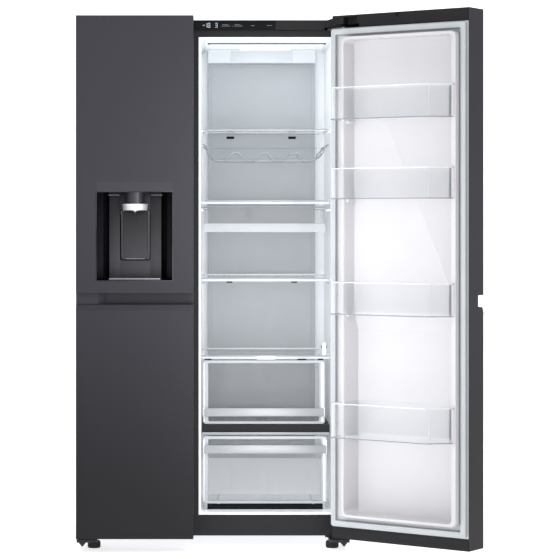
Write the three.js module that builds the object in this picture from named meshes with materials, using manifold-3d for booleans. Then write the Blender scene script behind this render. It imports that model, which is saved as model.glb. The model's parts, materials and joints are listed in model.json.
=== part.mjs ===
// A side by side refrigerator with a water and ice dispenser, as an assembly of its real pieces.
// Millimetres. X runs across the front, Y from the closed door fronts to the back, Z up from the floor.
// Every piece is drawn with both doors closed; each door hangs in a group that turns about its hinge pins.

import * as THREE from "three";
import { mergeVertices } from "three/addons/utils/BufferGeometryUtils.js";
import ManifoldModule from "manifold-3d";

const manifold = await ManifoldModule();
manifold.setup();

// ---------------------------------------------------------------- driving dimensions

// Cabinet
const caseWidth = 907;
const caseHeight = 1705;
const caseDepth = 620;
const caseLift = 43;
const sheet = 1.2;
const framePlate = 1.5;
const sideWall = 52.5;
const ceilingWall = 30;
const floorWall = 79;
const backWall = 95;
const mullion = 46;
const freezerInnerWidth = 314;
const linerWall = 2.5;
const linerFlange = 8;
const fit = 0.3;

// Machine compartment at the bottom of the back
const machineDepth = 230;
const machineHeight = 172;
const machineFoam = 47;

// Top cover and display
const coverRise = 35;
const coverEndRise = 42;
const coverDepth = 125;
const coverProud = 4;
const coverWall = 2.5;
const coverEndWidth = 69;
const coverEndSlope = 23;
const displayWidth = 274;
const displayHeight = 31;
const displayThickness = 2;

// Doors
const doorDepth = 99;
const gasketDepth = 16;
const gasketWidth = 17;
const gasketInset = 5;
const gasketRelief = 1.6;
const gasketReliefStart = 4;
const doorGap = 3;
const doorOverhang = 3;
const doorBottomRise = 5;
const doorTopRise = 41;
const doorCornerRadius = 3;
const capHeight = 40;
const topCapHeight = 43;
const linerPanel = 3;
const dikeHeight = 38;
const dikeInset = 5;
const dikeWall = 9;
const meetingDikeWall = 16;
const recessUpperDepth = 30;
const recessLowerDepth = 55;
const recessStepHeight = 692;
const recessStepRise = 58;
const recessRadius = 14;
const openAngle = 144;

// Hinges
const hingeInset = 18.5;
const hingeSetback = 53.5;
const hingePlate = 5;
const hingePinRadius = 5;
const hingePinLength = 28;
const hingeArmWidth = 26;
const hingeSlotHeight = 12;
const hingeSlotReach = 24;
const hingeBossRadius = 11;
const hingePlateDepth = 90;
const hingeFlangeHeight = 35;
const hingeFlangeWidth = 78;
const hingeFlangeSlope = 24;
const hingeFlangeThickness = 2.5;

// Pocket handles
const channelRise = 759;
const channelHeight = 59;
const channelDepth = 37;
const channelLedge = 19;
const channelLedgeRise = 4;
const channelLipDepth = 8;
const channelShallowDepth = 12;
const channelShallowLength = 71.5;
const channelRampLength = 30;

// Dispenser
const dispenserRise = 859;
const dispenserWidth = 253;
const dispenserHeight = 295.5;
const dispenserDepth = 85;
const dispenserTaper = 39;
const dispenserWall = 2.5;
const trayHeight = 6;
const chuteRadius = 33;
const chuteRingRadius = 41;
const chuteLength = 40;
const chuteRingHeight = 21;
const nozzleLength = 10;
const paddleWidth = 85;
const paddleHeight = 161;
const paddleThickness = 5;
const paddleDrop = 63.5;
const paddleTravelRoom = 23;
const paddlePinRadius = 3;

// Fridge compartment, stacked up from its floor
const shelfSideGap = 2.5;
const shelfPlate = 5;
const shelfLip = 12;
const shelfSetback = 110;
const frontLipDepth = 14;
const lowerCrisperLift = 21;
const lowerCrisperHeight = 229;
const lowerCrisperSetback = 70;
const dividerSpace = 6;
const dividerHeight = 30;
const slideSpace = 2;
const upperCrisperHeight = 218;
const upperCrisperSetback = 105;
const crisperCoverSpace = 5;
const lowerShelfSpace = 254;
const snackDrawerSpace = 157;
const snackDrawerHeight = 87;
const snackDrawerDepth = 335;
const middleShelfSpace = 9;
const wineRackSpace = 136;
const wineRackHeight = 55;
const upperShelfSpace = 48;
const upperShelfLip = 6;
const drawerWall = 3;
const drawerRadius = 14;
const drawerCollar = 10;
const drawerRim = 4;
const crisperLeftGap = 6;
const crisperSideGap = 13;
const snackLeftGap = 4.5;
const snackRightGap = 12;
const lowerGripDrop = 30;
const upperGripDrop = 164;
const gripHeight = 28;
const gripReach = 10;
const doorSideGap = 17.5;
const bottlePlaces = 4;
const bottleRadius = 34;
const wineRackDepth = 250;
const wineRackPlate = 4;
const ribWidth = 6;
const ribHeight = 5;
const ledgeBackGap = 20;
const floorRibInset = 60;
const ductDepth = 43;
const ductSideGap = 23;
const ductRightGap = 35;
const ceilingHousingHeight = 48;
const ceilingHousingDepth = 62;

// Fridge door bins, each by its rise above the bottom of the door and its height
const binReach = 112;
const binWall = 2.5;
const binSlant = 60;
const binHingeClearance = 5;
const binMeetingClearance = 10;
const binCornerRadius = 14;
const binPlay = 3;
const fridgeBins = [
  { name: "door_bin_bottom", rise: 347, height: 113 },
  { name: "door_bin_lower", rise: 751, height: 106 },
  { name: "door_bin_middle", rise: 1129, height: 100 },
  { name: "door_bin_top", rise: 1389, height: 105 },
];
const freezerBinRise = 330;
const freezerBinHeight = 110;
const freezerBinReach = 84;

// Freezer compartment
const freezerDrawerHeight = 225;
const freezerDrawerSpace = 18;
const freezerDrawerSetback = 92;
const freezerSideGap = 8;
const freezerShelfRise = 1130;
const iceBucketHeight = 255;
const iceBucketDepth = 370;
const iceMakerHeight = 120;
const iceMakerDrop = 22;
const evaporatorCoverGap = 78;
const coverSheet = 3;

// Feet and rollers
const footRadius = 21.5;
const footPadHeight = 25;
const footInset = 50.5;
const footSetback = 22;
const stemRadius = 5;
const rollerRadius = 20;
const rollerWidth = 20;
const rollerInset = 75;
const rollerSetback = 530;
const axleRadius = 4;
const axlePlay = 0.4;

// ---------------------------------------------------------------- derived places

const caseLeft = -caseWidth / 2;
const caseRight = caseWidth / 2;
const caseFront = doorDepth + gasketDepth;
const caseBack = caseFront + caseDepth;
const caseBottom = caseLift;
const caseTop = caseBottom + caseHeight;

const cavity = { front: caseFront, back: caseBack - backWall, bottom: caseBottom + floorWall, top: caseTop - ceilingWall };
const freezer = { ...cavity, left: caseLeft + sideWall, right: caseLeft + sideWall + freezerInnerWidth };
const fridge = { ...cavity, left: freezer.right + mullion, right: caseRight - sideWall };

const doorsMeet = (freezer.right + fridge.left) / 2;
const doorBottom = caseBottom + doorBottomRise;
const doorTop = caseTop + doorTopRise;
const capBottomTop = doorBottom + capHeight;
const capTopBottom = doorTop - topCapHeight;
const freezerDoor = {
  prefix: "freezer_door",
  side: -1,
  left: caseLeft - doorOverhang,
  right: doorsMeet - doorGap / 2,
  compartment: freezer,
};
const fridgeDoor = {
  prefix: "fridge_door",
  side: 1,
  left: doorsMeet + doorGap / 2,
  right: caseRight + doorOverhang,
  compartment: fridge,
};
for (const door of [freezerDoor, fridgeDoor]) {
  door.hingeEdge = door.side > 0 ? door.right : door.left;
  door.meetingEdge = door.side > 0 ? door.left : door.right;
  door.hingeX = door.hingeEdge - door.side * hingeInset;
  door.middle = (door.left + door.right) / 2;
}

const machineTop = caseBottom + sheet * 2 + machineHeight;
const machineFront = caseBack - machineDepth;
const stepBack = 40;
const stepRise = 50;

const lowerCrisperBottom = fridge.bottom + lowerCrisperLift;
const dividerBottom = lowerCrisperBottom + lowerCrisperHeight + dividerSpace;
const upperCrisperBottom = dividerBottom + dividerHeight + slideSpace;
const crisperCoverTop = upperCrisperBottom + upperCrisperHeight + crisperCoverSpace + shelfLip;
const lowerShelfTop = crisperCoverTop + lowerShelfSpace + shelfLip;
const snackDrawerBottom = lowerShelfTop + snackDrawerSpace;
const middleShelfTop = snackDrawerBottom + snackDrawerHeight + middleShelfSpace + shelfLip;
const wineRackBottom = middleShelfTop + wineRackSpace;
const upperShelfTop = wineRackBottom + wineRackHeight + upperShelfSpace + upperShelfLip;
const shelfFront = caseFront + shelfSetback;
const shelfBack = fridge.back - ductDepth - fit;
const floorStepFront = machineFront - machineFoam - stepBack / 3;
const crisperBack = floorStepFront - 8;

// ---------------------------------------------------------------- shape helpers

/** A block between two corners, given as [low, high] along X, Y and Z. */
function block(x, y, z) {
  const geometry = new THREE.BoxGeometry(x[1] - x[0], y[1] - y[0], z[1] - z[0]);
  return geometry.translate((x[0] + x[1]) / 2, (y[0] + y[1]) / 2, (z[0] + z[1]) / 2);
}

/** A closed outline through corner points. */
function outline(points) {
  return new THREE.Shape(points.map(([u, v]) => new THREE.Vector2(u, v)));
}

/** A rectangle with round corners, between [low, high] ranges. */
function roundRectangle(u, v, radius) {
  const shape = new THREE.Shape();
  shape.absarc(u[1] - radius, v[1] - radius, radius, 0, Math.PI / 2);
  shape.absarc(u[0] + radius, v[1] - radius, radius, Math.PI / 2, Math.PI);
  shape.absarc(u[0] + radius, v[0] + radius, radius, Math.PI, 1.5 * Math.PI);
  shape.absarc(u[1] - radius, v[0] + radius, radius, 1.5 * Math.PI, 2 * Math.PI);
  return shape;
}

function extrude(shape, length, arcSteps) {
  return new THREE.ExtrudeGeometry(shape, { depth: length, bevelEnabled: false, curveSegments: arcSteps });
}

/** An outline drawn in Y and Z, drawn out along X over a [low, high] range. */
function alongX(shape, x, arcSteps = 4) {
  const turn = new THREE.Matrix4().makeBasis(
    new THREE.Vector3(0, 1, 0),
    new THREE.Vector3(0, 0, 1),
    new THREE.Vector3(1, 0, 0),
  );
  return extrude(shape, x[1] - x[0], arcSteps).applyMatrix4(turn).translate(x[0], 0, 0);
}

/** An outline drawn in X and Z, drawn out along Y over a [low, high] range. */
function alongY(shape, y, arcSteps = 4) {
  const turn = new THREE.Matrix4().makeBasis(
    new THREE.Vector3(1, 0, 0),
    new THREE.Vector3(0, 0, 1),
    new THREE.Vector3(0, -1, 0),
  );
  return extrude(shape, y[1] - y[0], arcSteps).applyMatrix4(turn).translate(0, y[1], 0);
}

/** An outline drawn in X and Y, drawn out along Z over a [low, high] range. */
function alongZ(shape, z, arcSteps = 4) {
  return extrude(shape, z[1] - z[0], arcSteps).translate(0, 0, z[0]);
}

/** A round bar along the x, y or z axis, centred at a point. */
function rod(axis, centre, radius, length, sides = 16) {
  const geometry = new THREE.CylinderGeometry(radius, radius, length, sides);
  if (axis === "x") geometry.rotateZ(Math.PI / 2);
  if (axis === "z") geometry.rotateX(Math.PI / 2);
  return geometry.translate(...centre);
}

/** A turned piece about Z: its profile is [radius, height] points from the axis up to the axis. */
function turned(points, sides = 24) {
  const profile = points.map(([radius, height]) => new THREE.Vector2(radius, height));
  return new THREE.LatheGeometry(profile, sides).rotateX(Math.PI / 2);
}

/** A geometry as a solid that can be cut and joined. */
function solid(shape) {
  if (!shape.isBufferGeometry) return shape;
  const bare = shape.clone();
  bare.deleteAttribute("normal");
  bare.deleteAttribute("uv");
  const merged = mergeVertices(bare, 1e-4);
  return new manifold.Manifold(
    new manifold.Mesh({
      numProp: 3,
      vertProperties: Float32Array.from(merged.attributes.position.array),
      triVerts: Uint32Array.from(merged.index.array),
    }),
  );
}

function join(first, ...rest) {
  return rest.reduce((sum, shape) => sum.add(solid(shape)), solid(first));
}

function cut(first, ...rest) {
  return rest.reduce((left, shape) => left.subtract(solid(shape)), solid(first));
}

function common(first, second) {
  return solid(first).intersect(solid(second));
}

/** The geometry of a cut or joined solid. */
function geometryOf(shape) {
  if (shape.isBufferGeometry) return shape;
  const mesh = shape.getMesh();
  const geometry = new THREE.BufferGeometry();
  geometry.setAttribute("position", new THREE.BufferAttribute(mesh.vertProperties, 3));
  geometry.setIndex(new THREE.BufferAttribute(mesh.triVerts, 1));
  geometry.computeVertexNormals();
  return geometry;
}

/** Adds one named piece with its own finish to a group. */
function addPart(group, name, shape, [color, roughness, metalness, opacity = 1]) {
  const material = new THREE.MeshStandardMaterial({ color, roughness, metalness, opacity, transparent: opacity < 1 });
  const mesh = new THREE.Mesh(geometryOf(shape), material);
  mesh.name = name;
  group.add(mesh);
  return mesh;
}

// Finishes: colour, roughness, metalness and, where clear, opacity
const doorSteel = [0x45454a, 0.5, 0.5];
const caseSteel = [0x3c3d40, 0.5, 0.5];
const zincSteel = [0xb9bdc2, 0.35, 0.9];
const blackPlastic = [0x222226, 0.55, 0];
const glossBlack = [0x141417, 0.12, 0];
const whitePlastic = [0xeef2f6, 0.35, 0];
const greyPlastic = [0xc9cdd1, 0.45, 0.2];
const gasketGrey = [0xc4c9ca, 0.7, 0];
const foam = [0xe8dfb4, 0.9, 0];
const clearPlastic = [0xeef6fa, 0.08, 0, 0.3];
const frostedPlastic = [0xe2eaef, 0.35, 0, 0.6];
const shelfGlass = [0xe6f2f2, 0.05, 0, 0.35];
const chrome = [0xc8cacd, 0.15, 1];
const copperFins = [0x9aa0a4, 0.4, 0.9];
const compressorBlack = [0x17181a, 0.4, 0.3];
const rubber = [0x1c1c1e, 0.8, 0];

// ---------------------------------------------------------------- cabinet shell

/** Steel sheet folded down over both sides of the cabinet. */
function outerCase() {
  const wrap = outline([
    [caseLeft, caseBottom],
    [caseLeft, caseTop],
    [caseRight, caseTop],
    [caseRight, caseBottom],
    [caseRight - sheet, caseBottom],
    [caseRight - sheet, caseTop - sheet],
    [caseLeft + sheet, caseTop - sheet],
    [caseLeft + sheet, caseBottom],
  ]);
  return alongY(wrap, [caseFront, caseBack]);
}

function backPanel() {
  const inside = sheet + fit;
  return block(
    [caseLeft + inside, caseRight - inside],
    [caseBack - sheet, caseBack],
    [machineTop + fit, caseTop - inside],
  );
}

/** The opening in the front frame for one compartment: its cavity plus the liner's flange. */
function frameOpening(room, grow, y) {
  return block(
    [room.left - linerFlange - grow, room.right + linerFlange + grow],
    y,
    [room.bottom - linerFlange - grow, room.top + linerFlange + grow],
  );
}

/** Steel plate around both openings that the door seals grip. */
function frontFrame() {
  const inside = sheet + fit;
  const plate = block(
    [caseLeft + inside, caseRight - inside],
    [caseFront, caseFront + framePlate],
    [caseBottom + fit, caseTop - inside],
  );
  const through = [caseFront - 1, caseFront + framePlate + 1];
  return cut(plate, frameOpening(fridge, fit, through), frameOpening(freezer, fit, through));
}

/** The inside of a compartment, grown all round, with its floor stepped up over the machine compartment. */
function compartmentSpace(room, grow, front) {
  const stepTop = machineTop + machineFoam;
  const profile = outline([
    [front, room.bottom - grow],
    [floorStepFront + grow / 2, room.bottom - grow],
    [floorStepFront + stepRise + grow / 2, stepTop - grow],
    [room.back + grow, stepTop - grow],
    [room.back + grow, room.top + grow],
    [front, room.top + grow],
  ]);
  return alongX(profile, [room.left - grow, room.right + grow]);
}

/** Two ledges on the side walls of the fridge compartment, just below a height. */
function ledges(top, front, leftReach, rightReach) {
  const back = fridge.back - ductDepth - ledgeBackGap;
  return [
    block([fridge.left - 1, fridge.left + leftReach], [front, back], [top - ribHeight, top]),
    block([fridge.right - rightReach, fridge.right + 1], [front, back], [top - ribHeight, top]),
  ];
}

/** Ledges under the glass shelves' plates. */
function shelfLedges() {
  const front = shelfFront + frontLipDepth + 1;
  return [crisperCoverTop, lowerShelfTop, middleShelfTop, upperShelfTop].flatMap((top) =>
    ledges(top - shelfPlate - fit, front, ribWidth, ribWidth));
}

/** Ledges that the snack drawer's collar slides on. */
function drawerLedges() {
  const top = snackDrawerBottom + snackDrawerHeight - drawerCollar - fit;
  const reach = drawerRim - 1;
  return ledges(top, shelfFront + 1, snackLeftGap + reach, snackRightGap + reach);
}

/** Two ribs on the floor that the lower crisper slides on. */
function floorRibs() {
  const y = [caseFront + lowerCrisperSetback + ribWidth, crisperBack - ribWidth];
  const z = [fridge.bottom - 1, lowerCrisperBottom - fit];
  return [fridge.left + floorRibInset, fridge.right - floorRibInset].map((x) =>
    block([x - ribWidth / 2, x + ribWidth / 2], y, z));
}

/** Moulded plastic lining of one compartment, with a flange over the front frame. */
function compartmentLiner(room, ribs) {
  const shell = join(
    compartmentSpace(room, linerWall, caseFront),
    frameOpening(room, 0, [caseFront, caseFront + framePlate + fit + 0.7]),
  );
  const hollow = cut(shell, compartmentSpace(room, 0, caseFront - 1));
  return join(hollow, ...ribs);
}

/** Foam that fills the cabinet between the steel and both liners. */
function insulation() {
  const inside = sheet + fit;
  const front = caseFront + framePlate + fit;
  const fill = block(
    [caseLeft + inside, caseRight - inside],
    [front, caseBack - sheet - fit],
    [caseBottom + sheet * 2 + fit, caseTop - inside],
  );
  const machineSpace = outline([
    [machineFront, caseBottom],
    [machineFront, machineTop - stepRise],
    [machineFront + stepBack, machineTop],
    [caseBack + 1, machineTop],
    [caseBack + 1, caseBottom],
  ]);
  const flangeDepth = [front - 1, caseFront + framePlate + 2 * fit + 0.7];
  return cut(
    fill,
    alongX(machineSpace, [caseLeft - 1, caseRight + 1]),
    compartmentSpace(fridge, linerWall + fit, front - 1),
    compartmentSpace(freezer, linerWall + fit, front - 1),
    frameOpening(fridge, fit, flangeDepth),
    frameOpening(freezer, fit, flangeDepth),
  );
}

/** Cover along the front of the top, raised at both ends over the hinges, hollow from below. */
function topCover() {
  const end = caseRight - fit;
  const bottom = caseTop + fit;
  const roof = (inset) => outline([
    [-end + inset, bottom - (inset ? 1 : 0)],
    [-end + inset, caseTop + coverEndRise - inset],
    [-caseRight + coverEndWidth - coverEndSlope, caseTop + coverEndRise - inset],
    [-caseRight + coverEndWidth, caseTop + coverRise - inset],
    [caseRight - coverEndWidth, caseTop + coverRise - inset],
    [caseRight - coverEndWidth + coverEndSlope, caseTop + coverEndRise - inset],
    [end - inset, caseTop + coverEndRise - inset],
    [end - inset, bottom - (inset ? 1 : 0)],
  ]);
  const front = caseFront - coverProud;
  const back = caseFront + coverDepth;
  const armSlots = [freezerDoor, fridgeDoor].map((door) => {
    const near = door.hingeX - door.side * 10;
    const far = door.hingeX - door.side * (hingeInset + 44);
    return block(
      [Math.min(near, far), Math.max(near, far)],
      [front - 1, caseFront + 1],
      [bottom - 1, caseTop + hingePlate + 2 * fit + 4],
    );
  });
  return cut(
    alongY(roof(0), [front, back]),
    alongY(roof(coverWall), [caseFront, back - coverWall]),
    displayBlock(fit, 1),
    ...armSlots,
  );
}

/** The display's slab, grown all round; also the pocket that it sits in. */
function displayBlock(grow, ahead) {
  const left = doorsMeet;
  const middle = caseTop + coverRise / 2;
  const front = caseFront - coverProud;
  return block(
    [left - grow, left + displayWidth + grow],
    [front - ahead, front + displayThickness + grow],
    [middle - displayHeight / 2 - grow, middle + displayHeight / 2 + grow],
  );
}

// ---------------------------------------------------------------- base, feet and rollers

/** Steel tray under the cabinet, with cheeks beside the machine compartment and two roller forks. */
function basePlate() {
  const inside = sheet + fit;
  const plate = block(
    [caseLeft + inside, caseRight - inside],
    [caseFront + framePlate + fit, caseBack - sheet - fit],
    [caseBottom, caseBottom + 2 * sheet],
  );
  const cheeks = [-1, 1].map((side) => {
    const outer = side * (caseRight - inside);
    const inner = outer - side * 2 * sheet;
    return block(
      [Math.min(outer, inner), Math.max(outer, inner)],
      [machineFront + stepBack + fit, caseBack - sheet - fit],
      [caseBottom, machineTop - fit],
    );
  });
  const forks = [-1, 1].flatMap((side) => rollerFork(side));
  return join(plate, ...cheeks, ...forks);
}

/** The two ears and the axle that carry a rear roller. */
function rollerFork(side) {
  const middle = side * (caseRight - rollerInset);
  const y = caseFront + rollerSetback;
  const half = rollerWidth / 2 + 1;
  const ear = 3;
  const ears = [-1, 1].map((end) => {
    const face = middle + end * half;
    const outer = face + end * ear;
    return block(
      [Math.min(face, outer), Math.max(face, outer)],
      [y - 12, y + 12],
      [rollerRadius - 9, caseBottom + sheet],
    );
  });
  return [...ears, rod("x", [middle, y, rollerRadius], axleRadius, 2 * (half + ear / 2), 12)];
}

/** A rear roller, drawn about its own axle. */
function roller() {
  const wheel = rod("x", [0, 0, 0], rollerRadius, rollerWidth, 28);
  return cut(wheel, rod("x", [0, 0, 0], axleRadius + axlePlay, rollerWidth + 2, 12));
}

/** A levelling foot with its screwed stem, standing on the floor. */
function levellingFoot() {
  const stemTop = caseBottom - fit;
  return turned([
    [0, 0],
    [footRadius - 2, 0],
    [footRadius, 2],
    [footRadius, footPadHeight - 5],
    [footRadius - 4, footPadHeight],
    [stemRadius, footPadHeight],
    [stemRadius, stemTop],
    [0, stemTop],
  ]);
}

// ---------------------------------------------------------------- hinges

/** Outline of a hinge plate: a foot over or under the cabinet and an arm to the pin. */
function hingePlateOutline(door, back) {
  const { hingeX, side } = door;
  const half = hingeArmWidth / 2;
  const shape = new THREE.Shape();
  const tip = side > 0 ? [0.35 * Math.PI, -Math.PI] : [0.65 * Math.PI, 2 * Math.PI];
  shape.absarc(hingeX, hingeSetback, half, tip[0], tip[1], side > 0);
  shape.lineTo(hingeX - side * 52, caseFront - coverProud - 2);
  shape.lineTo(hingeX - side * 52, back);
  shape.lineTo(hingeX + side * 2, back);
  shape.lineTo(hingeX + side * 2, caseFront + 12);
  shape.lineTo(hingeX - side * 22, caseFront + 2);
  return shape;
}

/** Upper hinge: a plate on the cabinet's top, an arm into the door's slot and a pin down. */
function upperHinge(door) {
  const bottom = caseTop + fit;
  const plate = alongZ(hingePlateOutline(door, caseFront + hingePlateDepth), [bottom, bottom + hingePlate], 10);
  const pin = rod(
    "z",
    [door.hingeX, hingeSetback, bottom + hingePlate / 2 - hingePinLength / 2],
    hingePinRadius,
    hingePinLength,
    16,
  );
  return join(plate, pin);
}

/** Lower hinge: a plate under the cabinet, a pin up into the door and the height adjuster under it. */
function lowerHinge(door) {
  const top = caseBottom - fit;
  const outer = door.hingeEdge - door.side * 1;
  const inner = outer - door.side * 68;
  const plate = block(
    [Math.min(outer, inner), Math.max(outer, inner)],
    [hingeSetback - 28, caseFront + 75],
    [top - 2 * hingePlate, top],
  );
  const pin = rod(
    "z",
    [door.hingeX, hingeSetback, top - hingePlate + hingePinLength / 2],
    hingePinRadius,
    hingePinLength,
    16,
  );
  const adjuster = turned([
    [0, 15],
    [3, 17],
    [12, 28],
    [12, top - hingePlate],
    [0, top - hingePlate],
  ], 16).translate(door.hingeX, hingeSetback, 0);
  const stemHole = rod("z", footPlace(door.side, top - hingePlate), stemRadius + axlePlay, 4 * hingePlate, 16);
  const flangeEnd = outer - door.side * hingeFlangeWidth;
  const flange = alongY(outline([
    [outer, top - hingePlate],
    [flangeEnd, top - hingePlate],
    [flangeEnd, top + 10],
    [flangeEnd + door.side * hingeFlangeSlope, top + hingeFlangeHeight],
    [outer, top + hingeFlangeHeight],
  ]), [caseFront - fit - hingeFlangeThickness, caseFront - fit]);
  return cut(join(plate, pin, adjuster, flange), stemHole);
}

function footPlace(side, z) {
  return [side * (caseRight - footInset), caseFront + footSetback, z];
}

// ---------------------------------------------------------------- doors

/** Outline of a door's wrapped sheet, seen from above: the front and both side returns. */
function skinOutline(door) {
  const { left, right } = door;
  const back = doorDepth - 2;
  const radius = doorCornerRadius;
  const shape = new THREE.Shape();
  shape.moveTo(right, back);
  shape.lineTo(right, radius);
  shape.absarc(right - radius, radius, radius, 0, -Math.PI / 2, true);
  shape.absarc(left + radius, radius, radius, -Math.PI / 2, -Math.PI, true);
  shape.lineTo(left, back);
  shape.lineTo(left + sheet, back);
  shape.absarc(left + radius, radius, radius - sheet, -Math.PI, -Math.PI / 2, false);
  shape.absarc(right - radius, radius, radius - sheet, -Math.PI / 2, 0, false);
  shape.lineTo(right - sheet, back);
  return shape;
}

/** The pocket handle's hollow across a door, grown all round; shallow beside the hinge. */
function channelSpace(door, grow) {
  const { side, hingeEdge, meetingEdge } = door;
  const low = doorBottom + channelRise;
  const high = low + channelHeight;
  const wall = outline([
    [-2, high + grow],
    [channelDepth + grow, high + grow],
    [channelDepth + grow, low + channelLedge + channelLedgeRise - grow],
    [channelLipDepth + grow, low + channelLedge - grow],
    [grow, low - grow],
    [-2, low - grow],
  ]);
  const rampEnd = hingeEdge - side * channelShallowLength;
  const plan = outline([
    [hingeEdge + side * 2, -2],
    [hingeEdge + side * 2, channelShallowDepth + grow],
    [rampEnd, channelShallowDepth + grow],
    [rampEnd - side * channelRampLength, channelDepth + grow],
    [meetingEdge - side * 2, channelDepth + grow],
    [meetingEdge - side * 2, -2],
  ]);
  return common(alongX(wall, [door.left - 3, door.right + 3]), alongZ(plan, [low - 10, high + 10]));
}

/** The dispenser recess in the freezer door, grown all round: wide in front, narrower at the back. */
function dispenserSpace(grow, front) {
  const half = dispenserWidth / 2 + grow;
  const low = doorBottom + dispenserRise - grow;
  const plan = outline([
    [freezerDoor.middle - half, front],
    [freezerDoor.middle - half, 6],
    [freezerDoor.middle - half + dispenserTaper, dispenserDepth + grow],
    [freezerDoor.middle + half - dispenserTaper, dispenserDepth + grow],
    [freezerDoor.middle + half, 6],
    [freezerDoor.middle + half, front],
  ]);
  return alongZ(plan, [low, low + dispenserHeight + 2 * grow]);
}

/** Painted steel sheet of a door, with its pocket handle and, on the freezer door, the dispenser's opening. */
function doorSkin(door) {
  const wrapped = alongZ(skinOutline(door), [doorBottom, doorTop], 2);
  const walls = common(channelSpace(door, sheet), block([door.left, door.right], [0, doorDepth], [doorBottom, doorTop]));
  const hingeNotch = [door.hingeEdge - 2, door.hingeEdge + 2];
  const tools = [channelSpace(door, 0), block(hingeNotch, [hingeSetback - 35, doorDepth], [capTopBottom - fit, doorTop + 1])];
  if (door === freezerDoor) tools.push(dispenserSpace(dispenserWall + fit, -1));
  return cut(join(wrapped, walls), ...tools);
}

/** The hollow of a door's storage recess, grown all round: deep below, shallow above the pocket handle. */
function recessSpace(door, grow, top) {
  const { compartment, side } = door;
  const hingeWall = (side > 0 ? compartment.right : compartment.left) - side * (dikeInset + dikeWall);
  const meetingWall = (side > 0 ? compartment.left : compartment.right) + side * (dikeInset + meetingDikeWall);
  const x = [Math.min(hingeWall, meetingWall) - grow, Math.max(hingeWall, meetingWall) + grow];
  const z = [compartment.bottom + dikeInset + dikeWall - grow, compartment.top - dikeInset - dikeWall + grow];
  const back = doorDepth - recessUpperDepth - grow;
  const lowerBack = doorDepth - recessLowerDepth - grow;
  const stepLow = doorBottom + recessStepHeight;
  const stepHigh = stepLow + recessStepRise;
  const profile = outline([
    [top, z[0]],
    [lowerBack, z[0]],
    [lowerBack, stepLow],
    [back, stepHigh],
    [back, z[1]],
    [top, z[1]],
  ]);
  return common(alongX(profile, x), alongY(roundRectangle(x, z, recessRadius + grow), [0, top + 1], 3));
}

/** The flat-bottomed freezer door recess: only as deep as its dike is high. */
function flatRecess(door) {
  const { compartment } = door;
  const inset = dikeInset + dikeWall;
  const x = [compartment.left + inset, compartment.right - inset];
  const z = [compartment.bottom + inset, compartment.top - inset];
  return alongY(roundRectangle(x, z, recessRadius), [doorDepth, doorDepth + dikeHeight + 1], 3);
}

/** Moulded inner panel of a door: a flat rim for the seal and a raised dike around the storage recess. */
function doorLiner(door) {
  const { compartment } = door;
  const panel = block(
    [door.left + sheet + fit, door.right - sheet - fit],
    [doorDepth - linerPanel, doorDepth],
    [capBottomTop + fit, capTopBottom - fit],
  );
  const dikeRange = (low, high) => [low + dikeInset, high - dikeInset];
  const dike = alongY(
    roundRectangle(
      dikeRange(compartment.left, compartment.right),
      dikeRange(compartment.bottom, compartment.top),
      recessRadius + dikeWall / 2,
    ),
    [doorDepth - 1, doorDepth + dikeHeight],
    3,
  );
  if (door === freezerDoor) return join(cut(join(panel, dike), flatRecess(door)), iceHood());
  const tub = recessSpace(door, linerPanel, doorDepth - 1);
  const hollow = cut(join(panel, dike, tub), recessSpace(door, 0, doorDepth + dikeHeight + 1));
  return join(hollow, ...fridgeBins.flatMap((bin) => binRests(door, bin)));
}

/** Raised block on the freezer door's inside, behind the dispenser. */
function iceHood() {
  const half = 78;
  const low = doorBottom + dispenserRise;
  const hood = outline([
    [doorDepth - 1, low],
    [doorDepth + 30, low],
    [doorDepth + 62, low + 60],
    [doorDepth + 62, low + dispenserHeight + 20],
    [doorDepth - 1, low + dispenserHeight + 50],
  ]);
  return alongX(hood, [freezerDoor.middle - half, freezerDoor.middle + half]);
}

/** The foam core of a door. */
function doorCore(door) {
  const edge = sheet + fit;
  const fill = block(
    [door.left + edge, door.right - edge],
    [edge, doorDepth - linerPanel - fit],
    [capBottomTop + fit, capTopBottom - fit],
  );
  const corner = doorCornerRadius;
  const corners = [door.left, door.right].map((x) => rounding(x, x === door.left ? 1 : -1, corner));
  const bosses = [capBottomTop, capTopBottom].map((z) =>
    rod("z", [door.hingeX, hingeSetback, z], hingeBossRadius + fit, 2 * hingePinLength, 20));
  const tools = [channelSpace(door, sheet + fit), ...bosses, ...corners];
  if (door === freezerDoor) tools.push(dispenserSpace(dispenserWall + 2 * fit, -1));
  if (door === fridgeDoor) tools.push(recessSpace(door, linerPanel + fit, doorDepth + 1));
  return cut(fill, ...tools);
}

/** A bar that takes a door's front corner back clear of the bend of its sheet. */
function rounding(x, inward, radius) {
  const near = sheet + fit;
  const far = near + radius * 0.8;
  const shape = outline([
    [x - inward, -1],
    [x + inward * far, -1],
    [x + inward * far, near],
    [x + inward * near, far],
    [x - inward, far],
  ]);
  return alongZ(shape, [doorBottom - 1, doorTop + 1]);
}

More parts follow.
